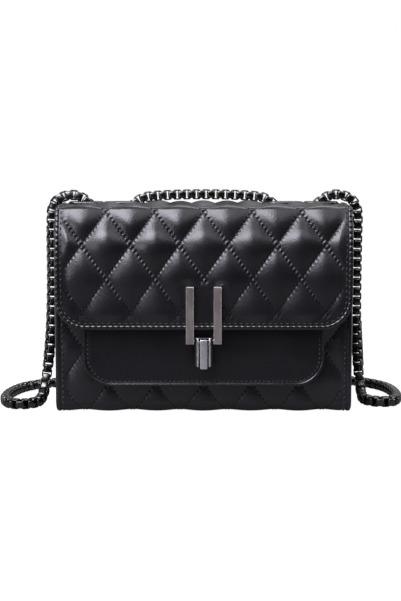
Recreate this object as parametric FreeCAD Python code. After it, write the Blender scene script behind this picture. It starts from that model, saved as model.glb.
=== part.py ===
"""Chain shoulder bag: quilted body, front slip pocket, quilted flap with a bar lock, box chain.

Millimetres. The front faces -Y, +X is to the right as seen from the front, +Z is up.
The origin is on the resting surface, under the middle of the body.
"""
import FreeCAD, Part
import math
import os

from FreeCAD import Vector

# Body
body_width = 200.0
body_depth = 60.0
body_height = 140.0
body_edge_radius = 8.0
body_top_radius = 6.0
wall_thickness = 4.0
mouth_drop = 12.0
side_binding_width = 3.0
side_binding_recess = 0.4
side_binding_overlap = 2.0
gusset_thickness = 3.0
board_thickness = 1.0
board_margin = 1.0
lining_thickness = 0.8
lining_drop = 2.0
lining_corner_radius = 4.0
facing_thickness = 0.8
facing_height = 18.0

# Flap
flap_side_inset = 1.5
flap_bottom = 59.0
flap_leather_thickness = 4.5
flap_lining_thickness = 1.2
flap_ridge_radius = 8.5
flap_corner_radius = 20.0
flap_binding_width = 3.0
flap_clearance = 0.6
hinge_y = 1.5
hinge_gap = 0.4
flap_open_degrees = 120.0

# Diamond quilting: seam crossings across and up, and the V-shaped seams that leave the pads
quilt_column = 32.2
quilt_half_row = 22.6
quilt_seam_width = 20.0
quilt_flap_row = 10.9
quilt_flap_proud = 1.8
quilt_flap_depth = 4.0
quilt_flap_rows_to_top = 4
quilt_hinge_margin = 9.0
quilt_lock_margin = 0.3
quilt_front_row = 43.3
quilt_back_row = 39.2
quilt_body_depth = 2.6

# Front slip pocket
pocket_side_margin = 19.5
pocket_bottom = 19.7
pocket_height = 75.3
pocket_corner_radius = 19.0
pocket_slot = 4.9
pocket_wall = 2.0
pocket_panel_thickness = 1.6
pocket_lining_thickness = 0.5
piping_width = 1.5
piping_proud = 0.3

# Lock on the flap
bar_width = 5.2
bar_length = 38.1
bar_thickness = 2.6
bar_gap = 13.1
bar_below_flap = 9.8
bar_bevel = 0.5
lug_height = 6.4
lug_depth = 4.0
pin_radius = 0.9
pin_above_bar_end = 1.8
pin_behind_bar = 2.2
pin_fit = 0.03
rivet_radius = 1.0
rivet_fit = 0.05
rivet_above_flap_edge = 7.8
rivet_below_bar_end = 6.5
backing_plate_thickness = 1.0
backing_plate_margin = 3.0

# Flip lever, magnet and strike
lever_side_gap = 0.55
lever_reach = 17.5
lever_taper = 0.5
lever_front_of_pin = 2.5
lever_behind_pin = 2.2
lever_head_radius = 3.1
lever_face_width = 4.8
lever_face_proud = 1.4
lever_face_overhang = 1.1
lever_face_bevel = 0.4
lever_rib_width = 2.4
lever_rib_proud = 0.9
lever_rib_bevel = 0.6
magnet_radius = 2.2
magnet_thickness = 2.0
magnet_below_pin = 11.0
magnet_fit = 0.05
strike_width = 9.0
strike_height = 9.0
strike_corner_radius = 1.5
strike_gap = 0.3
strike_shank_radius = 1.5
strike_fit = 0.05
strike_washer_radius = 4.0
strike_washer_thickness = 0.5

# Eyelets in the top strip
eyelet_back_distance = 13.0
eyelet_end_distance = 18.0
eyelet_spacing = 26.0
eyelet_hole_length = 20.0
eyelet_hole_width = 9.0
eyelet_barrel_wall = 0.6
eyelet_fit = 0.05
eyelet_rim = 2.0
eyelet_flange_thickness = 0.6
eyelet_washer_thickness = 0.6
eyelet_curl = 0.5

# Box chain: the outside of the links, and the points of its closed route, stretch by stretch.
# The route starts under the strip on the left, goes over the top to the right, down to the
# surface, behind the bag and back up the left side.
chain_diameter = 7.0
chain_arc_share = 0.45
chain_route = {
    "chain_tuck_left": [
        (-74.0, 17.0, 129.0),
        (-64.0, 17.0, 129.0),
    ],
    "chain_top_run": [
        (-48.0, 17.0, 145.0),
        (-34.5, 17.4, 144.1),
        (-12.0, 18.2, 144.6),
        (12.5, 18.4, 144.5),
        (34.5, 17.4, 144.1),
        (48.0, 17.0, 145.0),
    ],
    "chain_tuck_right": [
        (64.0, 17.0, 129.0),
        (74.0, 17.0, 129.0),
    ],
    "chain_side_right": [
        (91.0, 17.0, 146.0),
        (102.0, 17.0, 146.0),
        (109.8, 17.0, 138.2),
        (109.2, 17.2, 119.0),
        (108.8, 17.8, 86.0),
        (109.0, 18.0, 54.0),
        (110.0, 17.4, 31.0),
    ],
    "chain_loop_right": [
        (110.6, 17.2, 15.4),
        (111.4, 6.5, 3.9),
        (112.6, -3.2, 3.9),
        (119.4, -10.2, 3.9),
        (129.6, -10.4, 3.9),
        (136.8, -3.0, 3.9),
        (139.0, 12.5, 3.9),
        (137.8, 30.0, 3.9),
        (133.0, 46.5, 3.9),
        (124.0, 60.5, 3.9),
        (109.5, 71.5, 3.9),
    ],
    "chain_back_run": [
        (90.0, 78.0, 3.9),
        (68.0, 76.0, 3.9),
        (49.0, 65.0, 3.9),
        (30.0, 53.0, 3.9),
        (7.5, 49.0, 3.9),
        (-14.0, 55.5, 3.9),
        (-33.0, 68.5, 3.9),
        (-54.0, 77.5, 3.9),
        (-76.0, 75.5, 3.9),
        (-96.0, 67.5, 3.9),
        (-110.5, 62.5, 3.9),
    ],
    "chain_loop_left": [
        (-123.0, 55.0, 3.9),
        (-132.0, 44.0, 3.9),
        (-138.4, 27.0, 3.9),
        (-141.2, 8.5, 3.9),
        (-139.2, -8.8, 3.9),
        (-130.8, -19.2, 3.9),
        (-118.8, -17.8, 3.9),
        (-112.2, -5.2, 3.9),
        (-110.8, 5.6, 14.6),
    ],
    "chain_side_left": [
        (-110.2, 9.0, 31.0),
        (-109.2, 12.4, 54.0),
        (-108.9, 15.6, 86.0),
        (-109.2, 16.8, 119.0),
        (-109.8, 17.0, 138.2),
        (-102.0, 17.0, 146.0),
        (-91.0, 17.0, 146.0),
    ],
}

# Room by which cutting shapes pass the faces that they cut
overrun = 5.0

# Places worked out from the sizes above
flap_thickness = flap_leather_thickness + flap_lining_thickness
body_front = -body_depth / 2
body_back = body_depth / 2
wrap_half_width = body_width / 2 - side_binding_width
cavity_half_width = wrap_half_width - gusset_thickness
cavity_half_depth = body_depth / 2 - wall_thickness
mouth_z = body_height - mouth_drop
strip_bottom = body_height - flap_thickness
hinge_z = body_height - flap_thickness / 2
lining_half_depth = cavity_half_depth - board_thickness
lining_bottom = wall_thickness + board_thickness
lining_top = mouth_z - lining_drop
panel_back = body_front - pocket_slot - pocket_lining_thickness
panel_face = panel_back - pocket_panel_thickness
piping_face = panel_face - piping_proud
pocket_half_width = body_width / 2 - pocket_side_margin
pocket_top = pocket_bottom + pocket_height
flap_inner = piping_face - flap_clearance
flap_face = flap_inner - flap_thickness
flap_half_width = body_width / 2 - flap_side_inset
bar_bottom = flap_bottom - bar_below_flap
bar_top = bar_bottom + bar_length
bar_face = flap_face - bar_thickness
bar_x = (bar_gap + bar_width) / 2
pin_y = flap_face + pin_behind_bar
pin_z = bar_bottom + pin_above_bar_end
lever_half_width = bar_gap / 2 - lever_side_gap
lever_front = pin_y - lever_front_of_pin
lever_back = pin_y + lever_behind_pin
lever_bottom = pin_z - lever_reach
magnet_z = pin_z - magnet_below_pin
rivet_places = [bar_top - rivet_below_bar_end, flap_bottom + rivet_above_flap_edge]
eyelet_y = body_back - eyelet_back_distance
eyelet_outer_x = body_width / 2 - eyelet_end_distance
eyelet_inner_x = eyelet_outer_x - eyelet_spacing
eyelet_places = {
    "outer_left": -eyelet_outer_x,
    "inner_left": -eyelet_inner_x,
    "inner_right": eyelet_inner_x,
    "outer_right": eyelet_outer_x,
}


def save(shape, name):
    """Write one sub-part to its own file."""
    shape.exportStep(os.path.join("parts", name + ".step"))


def box(x0, x1, y0, y1, z0, z1):
    """A block between two corners."""
    return Part.makeBox(x1 - x0, y1 - y0, z1 - z0, Vector(x0, y0, z0))


def corner_arc(before, corner, after, radius):
    """Start, middle and end of the arc that rounds a corner between two straight runs."""
    back = (before - corner).normalize()
    ahead = (after - corner).normalize()
    half_turn = (math.pi - back.getAngle(ahead)) / 2
    reach = radius * math.tan(half_turn)
    inward = (back + ahead).normalize()
    rise = radius / math.cos(half_turn) - radius
    return corner + back * reach, corner + inward * rise, corner + ahead * reach


def add_line(edges, start, end):
    """Add a straight edge unless its two ends meet."""
    if start.distanceToPoint(end) > Part.Precision.confusion():
        edges.append(Part.LineSegment(start, end).toShape())


def rounded_face(corners):
    """A flat face round a list of corners, each given with its rounding radius."""
    edges = []
    count = len(corners)
    ends = []
    for index, (corner, radius) in enumerate(corners):
        if radius:
            ends.append(corner_arc(corners[index - 1][0], corner, corners[(index + 1) % count][0], radius))
        else:
            ends.append((corner, None, corner))
    for index, (start, middle, end) in enumerate(ends):
        if middle is not None:
            edges.append(Part.Arc(start, middle, end).toShape())
        add_line(edges, end, ends[(index + 1) % count][0])
    return Part.Face(Part.Wire(edges))


def side_prism(outline, x0, x1):
    """Extrude an outline of (y, z, radius) corners along X."""
    face = rounded_face([(Vector(x0, y, z), radius) for y, z, radius in outline])
    return face.extrude(Vector(x1 - x0, 0, 0))


def front_prism(outline, y0, y1):
    """Extrude an outline of (x, z, radius) corners along Y."""
    face = rounded_face([(Vector(x, y0, z), radius) for x, z, radius in outline])
    return face.extrude(Vector(0, y1 - y0, 0))


def plan_prism(outline, z0, z1):
    """Extrude an outline of (x, y, radius) corners along Z."""
    face = rounded_face([(Vector(x, y, z0), radius) for x, y, radius in outline])
    return face.extrude(Vector(0, 0, z1 - z0))


def cylinder_x(radius, x0, x1, y, z):
    """A round bar along X."""
    return Part.makeCylinder(radius, x1 - x0, Vector(x0, y, z), Vector(1, 0, 0))


def cylinder_y(radius, y0, y1, x, z):
    """A round bar along Y."""
    return Part.makeCylinder(radius, y1 - y0, Vector(x, y0, z), Vector(0, 1, 0))


def oval(x, length, width, z0, z1):
    """A round-ended slot shape along X in the top strip."""
    reach = length / 2
    half = width / 2
    outline = [(x - reach, eyelet_y - half, half), (x + reach, eyelet_y - half, half),
               (x + reach, eyelet_y + half, half), (x - reach, eyelet_y + half, half)]
    return plan_prism(outline, z0, z1)


def eyelet_seat(x):
    """Room for an eyelet's barrel in the strip and the washer."""
    room = 2 * (eyelet_barrel_wall + eyelet_fit)
    return oval(x, eyelet_hole_length + room, eyelet_hole_width + room,
                strip_bottom - overrun, body_height + overrun)


def quilt_seams(crossing, up, outward, reach, height, depth):
    """V-shaped cuts along both slants of the quilt's seams on a flat panel.

    crossing is the middle of a row of seam crossings, on the pads' crowns.
    """
    half_column = quilt_column / 2
    count = math.ceil(reach / quilt_column + height / (2 * quilt_half_row))
    length = reach + 2 * height
    opening = quilt_seam_width / 2 * (depth + overrun) / depth
    cuts = []
    for slant in (-1, 1):
        run = Vector(half_column, 0, 0) + up * (slant * quilt_half_row)
        run.normalize()
        across = run.cross(outward)
        for index in range(-count, count):
            start = crossing + Vector((2 * index + 1) * half_column, 0, 0) - run * length
            low = start - outward * depth
            high = start + outward * overrun
            triangle = Part.Face(Part.makePolygon([low, high + across * opening, high - across * opening, low]))
            cuts.append(triangle.extrude(run * (2 * length)))
    return cuts


def strip_front():
    """Lower and upper (y, z) ends of the strip's front face, which the open flap leans back over."""
    lean = math.radians(flap_open_degrees) - math.pi / 2
    reach = flap_thickness / 2 + hinge_gap
    low_y = hinge_y + reach * math.cos(lean)
    low_z = hinge_z - reach * math.sin(lean)
    return (low_y, low_z), (low_y + (body_height - low_z) * math.tan(lean), body_height)


def body_band(recess, band, x0, x1):
    """Front, bottom, back and top strip of the body as one bent band, open at the mouth."""
    front = body_front + recess
    back = body_back - recess
    top = body_height - recess
    outer = side_prism([(front, recess, body_edge_radius), (back, recess, body_edge_radius),
                        (back, top, body_top_radius), (front, top, 0)], x0, x1)
    inner_radius = body_edge_radius - wall_thickness
    inner = side_prism([(body_front + band, band, inner_radius), (body_back - band, band, inner_radius),
                        (body_back - band, strip_bottom, 0), (body_front + band, strip_bottom, 0)],
                       x0 - overrun, x1 + overrun)
    (low_y, low_z), (high_y, high_z) = strip_front()
    mouth = side_prism([(body_front - overrun, mouth_z, 0), (low_y, mouth_z, 0), (low_y, low_z, 0),
                        (high_y, high_z, 0), (high_y, high_z + overrun, 0),
                        (body_front - overrun, high_z + overrun, 0)],
                       x0 - overrun, x1 + overrun)
    return outer.cut(inner).cut(mouth)


def make_body():
    """Quilted wrap, gussets, side bindings and stiffening boards."""
    wrap = body_band(0, wall_thickness, -wrap_half_width, wrap_half_width)
    for x in eyelet_places.values():
        wrap = wrap.cut(eyelet_seat(x))
    wrap = wrap.cut(quilt_seams(Vector(0, body_front, quilt_front_row), Vector(0, 0, 1), Vector(0, -1, 0),
                                wrap_half_width, body_height, quilt_body_depth))
    wrap = wrap.cut(quilt_seams(Vector(0, body_back, quilt_back_row), Vector(0, 0, 1), Vector(0, 1, 0),
                                wrap_half_width, body_height, quilt_body_depth))
    save(wrap, "quilted_wrap")

    gusset_outline = [(-cavity_half_depth, wall_thickness, body_edge_radius),
                      (cavity_half_depth, wall_thickness, body_edge_radius),
                      (cavity_half_depth, mouth_z, 0), (-cavity_half_depth, mouth_z, 0)]
    for side, sign in (("left", -1), ("right", 1)):
        inner, outer = sorted((sign * cavity_half_width, sign * wrap_half_width))
        save(side_prism(gusset_outline, inner, outer), "gusset_" + side)
        inner, outer = sorted((sign * wrap_half_width, sign * body_width / 2))
        binding = body_band(side_binding_recess, wall_thickness + side_binding_overlap, inner, outer)
        save(binding, "side_binding_" + side)

    board_x = cavity_half_width - board_margin
    board_z = wall_thickness + body_edge_radius
    board_top = lining_top - board_margin
    save(box(-board_x, board_x, -cavity_half_depth, -lining_half_depth, board_z, board_top), "front_board")
    save(box(-board_x, board_x, lining_half_depth, cavity_half_depth, board_z, board_top), "back_board")
    base_y = cavity_half_depth - body_edge_radius + wall_thickness
    save(box(-board_x, board_x, -base_y, base_y, wall_thickness, lining_bottom), "base_board")


def make_lining():
    """Thin open lining of the main compartment and the leather facing round its mouth."""
    outer = side_prism([(-lining_half_depth, lining_bottom, lining_corner_radius),
                        (lining_half_depth, lining_bottom, lining_corner_radius),
                        (lining_half_depth, lining_top, 0), (-lining_half_depth, lining_top, 0)],
                       -cavity_half_width, cavity_half_width)
    inner_depth = lining_half_depth - lining_thickness
    inner_width = cavity_half_width - lining_thickness
    floor = lining_bottom + lining_thickness
    inner_radius = lining_corner_radius - lining_thickness
    inner = side_prism([(-inner_depth, floor, inner_radius), (inner_depth, floor, inner_radius),
                        (inner_depth, lining_top + overrun, 0), (-inner_depth, lining_top + overrun, 0)],
                       -inner_width, inner_width)
    save(outer.cut(inner), "lining")

    facing_bottom = lining_top - facing_height
    facing = box(-inner_width, inner_width, -inner_depth, inner_depth, facing_bottom, lining_top)
    mouth_width = inner_width - facing_thickness
    mouth_depth = inner_depth - facing_thickness
    facing = facing.cut(box(-mouth_width, mouth_width, -mouth_depth, mouth_depth,
                            facing_bottom - overrun, lining_top + overrun))
    save(facing, "mouth_facing")


def pocket_outline(inset, top):
    """Pocket shape seen from the front, drawn in by an inset, up to a given height."""
    half = pocket_half_width - inset
    bottom = pocket_bottom + inset
    radius = pocket_corner_radius - inset
    return [(-half, bottom, radius), (half, bottom, radius), (half, top, 0), (-half, top, 0)]


def make_pocket():
    """Slip pocket on the front: gusset, smooth panel, edge piping, lining and the lock's strike."""
    past_top = pocket_top + overrun
    gusset = front_prism(pocket_outline(0, pocket_top), panel_back, body_front)
    gusset = gusset.cut(front_prism(pocket_outline(pocket_wall, past_top), panel_back - overrun,
                                    body_front + overrun))
    save(gusset, "pocket_gusset")

    piping = front_prism(pocket_outline(0, pocket_top), piping_face, panel_back)
    piping = piping.cut(front_prism(pocket_outline(piping_width, past_top), piping_face - overrun,
                                    panel_back + overrun))
    save(piping, "pocket_piping")

    lining = front_prism(pocket_outline(pocket_wall, pocket_top), panel_back,
                         panel_back + pocket_lining_thickness)
    save(lining, "pocket_lining")

    washer_front = panel_back - strike_washer_thickness
    panel = front_prism(pocket_outline(piping_width, pocket_top), panel_face, panel_back)
    shank_room = strike_shank_radius + strike_fit
    washer_room = strike_washer_radius + strike_fit
    panel = panel.cut(cylinder_y(shank_room, panel_face - overrun, panel_back, 0, magnet_z))
    panel = panel.cut(cylinder_y(washer_room, washer_front, panel_back + overrun, 0, magnet_z))
    save(panel, "pocket_panel")

    washer = cylinder_y(strike_washer_radius, washer_front, panel_back, 0, magnet_z)
    save(washer, "strike_washer")

    half = strike_width / 2
    reach = strike_height / 2
    outline = [(-half, magnet_z - reach, strike_corner_radius), (half, magnet_z - reach, strike_corner_radius),
               (half, magnet_z + reach, strike_corner_radius), (-half, magnet_z + reach, strike_corner_radius)]
    strike = front_prism(outline, lever_back + strike_gap, panel_face)
    strike = strike.fuse(cylinder_y(strike_shank_radius, panel_face, washer_front, 0, magnet_z))
    save(strike.removeSplitter(), "strike_plate")


def flap_blank(inset, proud):
    """Flap over its full thickness, drawn in by an inset at the sides and the lower edge.

    Its outer face stands proud for the pads, from the lower edge to short of the hinge.
    """
    half = flap_thickness / 2
    rear = hinge_y + half
    front = flap_face - proud
    top = body_height + proud
    profile = [(rear, body_height, half)]
    if proud:
        profile += [(hinge_y - quilt_hinge_margin, body_height, 0), (hinge_y - quilt_hinge_margin, top, 0)]
    profile += [(front, top, flap_ridge_radius + proud), (front, flap_bottom - overrun, 0),
                (flap_inner, flap_bottom - overrun, 0),
                (flap_inner, strip_bottom, flap_ridge_radius - flap_thickness), (rear, strip_bottom, half)]
    reach = flap_half_width - inset
    bent = side_prism(profile, -reach, reach)
    bottom = flap_bottom + inset
    radius = flap_corner_radius - inset
    outline = [(-reach, bottom, radius), (reach, bottom, radius),
               (reach, top + overrun, 0), (-reach, top + overrun, 0)]
    return bent.common(front_prism(outline, front - overrun, rear + overrun))


def flap_lining_layer():
    """Inner layer of the flap, wider and longer than the flap itself."""
    reach = flap_half_width + overrun
    outer_y = flap_inner - flap_lining_thickness
    outer_z = strip_bottom + flap_lining_thickness
    inner_radius = flap_ridge_radius - flap_thickness
    profile = [(hinge_y, strip_bottom, 0), (hinge_y, outer_z, 0),
               (outer_y, outer_z, inner_radius + flap_lining_thickness),
               (outer_y, flap_bottom - overrun, 0), (flap_inner, flap_bottom - overrun, 0),
               (flap_inner, strip_bottom, inner_radius)]
    return side_prism(profile, -reach, reach)


def quilted_flap():
    """Flap inside its binding with padded diamonds, and flat seats for the lock's bars."""
    pads = flap_blank(flap_binding_width, quilt_flap_proud)
    front = flap_face - quilt_flap_proud
    top = body_height + quilt_flap_proud
    height = body_height - flap_bottom
    pads = pads.cut(quilt_seams(Vector(0, front, flap_bottom + quilt_flap_row), Vector(0, 0, 1), Vector(0, -1, 0),
                                flap_half_width, height, quilt_flap_depth))
    over_ridge = height - flap_ridge_radius + math.pi / 2 * flap_ridge_radius
    row = flap_face + flap_ridge_radius + quilt_flap_row + quilt_flap_rows_to_top * quilt_half_row - over_ridge
    end = hinge_y - quilt_hinge_margin
    reach = flap_half_width
    quilted_top = box(-reach, reach, front, end, body_height - quilt_flap_depth, top + overrun)
    seams = quilt_seams(Vector(0, row, top), Vector(0, 1, 0), Vector(0, 0, 1), reach, end - front, quilt_flap_depth)
    pads = pads.cut([seam.common(quilted_top) for seam in seams])
    for x in (-bar_x, bar_x):
        half = bar_width / 2 + quilt_lock_margin
        pads = pads.cut(box(x - half, x + half, front - overrun, flap_face, flap_bottom - overrun,
                            bar_top + quilt_lock_margin))
    return pads


def make_flap():
    """Flap leather, lining and edge binding, with room for the lock's plate and rivets."""
    core = flap_blank(flap_binding_width, 0)
    layer = flap_lining_layer()
    save(flap_blank(0, 0).cut(core), "flap_binding")
    save(core.common(layer), "flap_lining")

    plate_back = flap_inner - flap_lining_thickness
    plate_front = plate_back - backing_plate_thickness
    plate_reach = bar_x + rivet_radius + backing_plate_margin
    plate_margin = rivet_radius + backing_plate_margin
    plate = box(-plate_reach, plate_reach, plate_front, plate_back,
                min(rivet_places) - plate_margin, max(rivet_places) + plate_margin)
    rivets = []
    leather = quilted_flap().cut(layer).cut(plate)
    for x in (-bar_x, bar_x):
        for z in rivet_places:
            rivets.append(cylinder_y(rivet_radius, flap_face, plate_front, x, z))
            leather = leather.cut(cylinder_y(rivet_radius + rivet_fit, flap_face - overrun, plate_front, x, z))
    save(leather, "flap_leather")
    save(plate, "lock_backing_plate")
    save(Part.makeCompound(rivets), "lock_rivets")


def make_lock():
    """Two bars with pin lugs, the pivot pin, the flip lever and its magnet."""
    for side, sign in (("left", -1), ("right", 1)):
        x0 = sign * bar_x - bar_width / 2
        x1 = sign * bar_x + bar_width / 2
        bar = box(x0, x1, bar_face, flap_face, bar_bottom, bar_top)
        front_edges = [edge for edge in bar.Edges if edge.BoundBox.YMax < flap_face - bar_bevel]
        bar = bar.makeChamfer(bar_bevel, front_edges)
        lug = box(x0, x1, flap_face, flap_face + lug_depth, bar_bottom, bar_bottom + lug_height)
        bar = bar.fuse(lug).removeSplitter()
        save(bar.cut(cylinder_x(pin_radius + pin_fit, x0, x1, pin_y, pin_z)), "lock_bar_" + side)

    pin_reach = bar_x + bar_width / 2
    save(cylinder_x(pin_radius, -pin_reach, pin_reach, pin_y, pin_z), "lock_pin")

    foot = lever_half_width - lever_taper
    blade_outline = [(-foot, lever_bottom, 0), (foot, lever_bottom, 0),
                     (lever_half_width, pin_z, 0), (-lever_half_width, pin_z, 0)]
    lever = front_prism(blade_outline, lever_front, lever_back)
    lever = lever.fuse(cylinder_x(lever_head_radius, -lever_half_width, lever_half_width, pin_y, pin_z))
    face_front = lever_front - lever_face_proud
    face_half = lever_face_width / 2
    face = box(-face_half, face_half, face_front, lever_back, lever_bottom - lever_face_overhang, pin_z)
    face_edges = [edge for edge in face.Edges if edge.BoundBox.YMax < lever_front]
    lever = lever.fuse(face.makeChamfer(lever_face_bevel, face_edges))
    rib_front = lever_front - lever_rib_proud
    rib_x = foot - lever_rib_width
    for x0, x1 in ((-foot, -rib_x), (rib_x, foot)):
        rib = box(x0, x1, rib_front, lever_back, lever_bottom, pin_z)
        rib_edges = [edge for edge in rib.Edges if edge.BoundBox.YMax < lever_front]
        lever = lever.fuse(rib.makeChamfer(lever_rib_bevel, rib_edges))
    lever = lever.removeSplitter()
    lever = lever.cut(cylinder_x(pin_radius + pin_fit, -pin_reach, pin_reach, pin_y, pin_z))
    magnet_back = lever_back - (lever_front_of_pin + lever_behind_pin - magnet_thickness) / 2
    magnet_front = magnet_back - magnet_thickness
    lever = lever.cut(cylinder_y(magnet_radius + magnet_fit, magnet_front, magnet_back, 0, magnet_z))
    save(lever, "lock_lever")
    save(cylinder_y(magnet_radius, magnet_front, magnet_back, 0, magnet_z), "lever_magnet")


def make_eyelets():
    """Oval eyelets with their flanges on the strip, and the washers under it."""
    barrel_length = eyelet_hole_length + 2 * eyelet_barrel_wall
    barrel_width = eyelet_hole_width + 2 * eyelet_barrel_wall
    flange_length = eyelet_hole_length + 2 * eyelet_rim
    flange_width = eyelet_hole_width + 2 * eyelet_rim
    flange_top = body_height + eyelet_flange_thickness
    washer_bottom = strip_bottom - eyelet_washer_thickness
    barrel_bottom = washer_bottom - eyelet_curl
    for place, x in eyelet_places.items():
        hole = oval(x, eyelet_hole_length, eyelet_hole_width, barrel_bottom - overrun, flange_top + overrun)
        flange = oval(x, flange_length, flange_width, body_height, flange_top)
        barrel = oval(x, barrel_length, barrel_width, barrel_bottom, body_height)
        save(flange.fuse(barrel).cut(hole), "eyelet_" + place)
        washer = oval(x, flange_length, flange_width, washer_bottom, strip_bottom)
        save(washer.cut(eyelet_seat(x)), "eyelet_washer_" + place)


def route_point(index):
    """A point of the whole closed route; the count goes round."""
    points = [point for stretch in chain_route.values() for point in stretch]
    return Vector(*points[index % len(points)])


def run_middle(index):
    """Middle of the run that begins at a route point."""
    return (route_point(index) + route_point(index + 1)) * 0.5


def chain_path(first, count):
    """Straight runs joined by arcs round some route points, from one run's middle to another's."""
    edges = []
    radii = []
    start = run_middle(first - 1)
    for index in range(first, first + count):
        before = route_point(index - 1)
        corner = route_point(index)
        after = route_point(index + 1)
        shorter_run = min(before.distanceToPoint(corner), after.distanceToPoint(corner))
        half_turn = (math.pi - (before - corner).getAngle(after - corner)) / 2
        radius = chain_arc_share * shorter_run / math.tan(half_turn)
        arc_start, arc_middle, arc_end = corner_arc(before, corner, after, radius)
        add_line(edges, start, arc_start)
        edges.append(Part.Arc(arc_start, arc_middle, arc_end).toShape())
        radii.append(round(radius, 1))
        start = arc_end
        end = run_middle(index)
    add_line(edges, start, end)
    return Part.Wire(edges), radii


def make_chain():
    """The closed chain as plain round stretches that meet face to face."""
    total = 0
    first = 0
    section = math.pi * chain_diameter ** 2 / 4
    for name, stretch in chain_route.items():
        path, radii = chain_path(first, len(stretch))
        heading = route_point(first) - route_point(first - 1)
        circle = Part.Circle(run_middle(first - 1), heading, chain_diameter / 2)
        tube = path.makePipeShell([Part.Wire(circle.toShape())], True, False)
        total += path.Length
        print(name, "length", round(path.Length, 1), "radii", radii,
              "volume ratio", round(tube.Volume / (section * path.Length), 4))
        save(tube, name)
        first += len(stretch)
    print("chain length", round(total, 1))


def main():
    os.makedirs("parts", exist_ok=True)
    make_body()
    make_lining()
    make_pocket()
    make_flap()
    make_lock()
    make_eyelets()
    make_chain()


main()
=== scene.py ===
"""Chain shoulder bag: the looks of the part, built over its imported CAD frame.

The file is laid out as an add-on and is run as a script. Each operator makes
one piece of the bag, or a group of like pieces, in metres and in the CAD frame.
"""
import functools
import math

import bpy
import numpy as np
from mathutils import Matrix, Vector, noise


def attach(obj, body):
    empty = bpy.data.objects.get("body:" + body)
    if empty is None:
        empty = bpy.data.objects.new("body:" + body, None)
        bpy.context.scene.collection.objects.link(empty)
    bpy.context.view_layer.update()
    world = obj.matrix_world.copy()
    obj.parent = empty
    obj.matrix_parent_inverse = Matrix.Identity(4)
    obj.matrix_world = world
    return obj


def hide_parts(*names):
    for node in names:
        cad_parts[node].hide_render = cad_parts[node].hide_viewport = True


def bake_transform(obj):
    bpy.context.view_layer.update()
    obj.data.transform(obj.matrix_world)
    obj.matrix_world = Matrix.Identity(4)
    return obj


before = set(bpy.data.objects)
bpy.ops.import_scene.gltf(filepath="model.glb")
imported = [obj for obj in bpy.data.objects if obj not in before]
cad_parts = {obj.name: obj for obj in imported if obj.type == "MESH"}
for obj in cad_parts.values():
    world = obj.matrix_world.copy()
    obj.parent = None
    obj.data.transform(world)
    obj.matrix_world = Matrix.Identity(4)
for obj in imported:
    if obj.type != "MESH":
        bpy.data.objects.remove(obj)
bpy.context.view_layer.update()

bl_info = {
    "name": "Chain shoulder bag",
    "version": (1, 0, 0),
    "blender": (4, 5, 0),
    "location": "View3D > Sidebar > Bag",
    "description": "Builds a quilted shoulder bag with a box chain over its CAD frame",
    "category": "Add Mesh",
}

MM = 0.001
HANDS = ((-1.0, "left"), (1.0, "right"))

# Places along each rounded corner of a bent sheet, and how far off it its outward direction is measured.
BEND = 17
PROBE = 0.01

# The cloth simulation of the quilting: pads along each side of the set, mesh steps along one side of a pad,
# how much larger than the bag the set is made, the frames that it takes to settle, and how often the
# heights are evened after that, because leather bends less sharply than cloth.
PAD_SET = 4
PAD_SIDE = 26
PAD_SCALE = 20.0
PAD_FRAMES = 20
PAD_EVEN = 24

# Stitches: how far puckers and stitch holes reach beside a line, quilt lines to each side of the middle, and
# the threads' sides and taper. Each thread's five places lie along a part of its stitch, lifted so much.
PUCKER_REACH = 0.0013
PINHOLE_REACH = 0.0010
QUILT_LINES = 24
THREAD_SIDES = 6
THREAD_TAPER = (0.45, 0.95, 1.0, 0.95, 0.45)
QUILT_SPAN = np.linspace(0.17, 0.83, 5)
QUILT_LIFT = np.array([-0.0006, -0.0002, -0.0001, -0.0002, -0.0006])
SEAM_SPAN = np.linspace(0.16, 0.84, 5)
SEAM_LIFT = np.array([-0.0003, 0.0002, 0.0004, 0.0002, -0.0003])

# Levels of the bag, in metres, as the CAD frame has them, but for two of the flap's: its lower edge hangs a
# little lower here, and its upper part leans back towards the fold.
BODY_FRONT = -0.030
BODY_BACK = 0.030
BODY_TOP = 0.140
MOUTH = 0.128
FLAP_FACE = -0.0436
FLAP_BOTTOM = 0.0583
FLAP_LEAN = 0.0098
HINGE_Y = 0.0015
POCKET_FACE = -0.0370
LEVER_PIN = (-0.0414, 0.0510)
LEVER_FRONT = -0.0439
LEVER_FOOT = 0.0335
BAR_MIDDLE = 0.00915
BAR_TOP = 0.0873

# The eyelets' places in the top strip, and for each hole half its straight sides and the radius of its ends.
EYELETS = ((-0.082, 0.017), (-0.056, 0.017), (0.056, 0.017), (0.082, 0.017))
EYELET_STRAIGHT = 0.0055
EYELET_ROUND = 0.0045

# Half widths of the body's leather, of the turned edges and between the side seams. For the flap's leather
# and its lining: half the width, the lower edge along the flap's line and the radius of the lower corners.
# The lining lies this deep.
BODY_HALF = 0.0972
EDGE_HALF = 0.0985
SIDE_SEAM = 0.0950
FLAP_OUTLINE = (0.0956, 0.0029, 0.0171)
FLAP_LINING = (0.0959, 0.0026, 0.0174)
LINING_DEPTH = 0.00555

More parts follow.
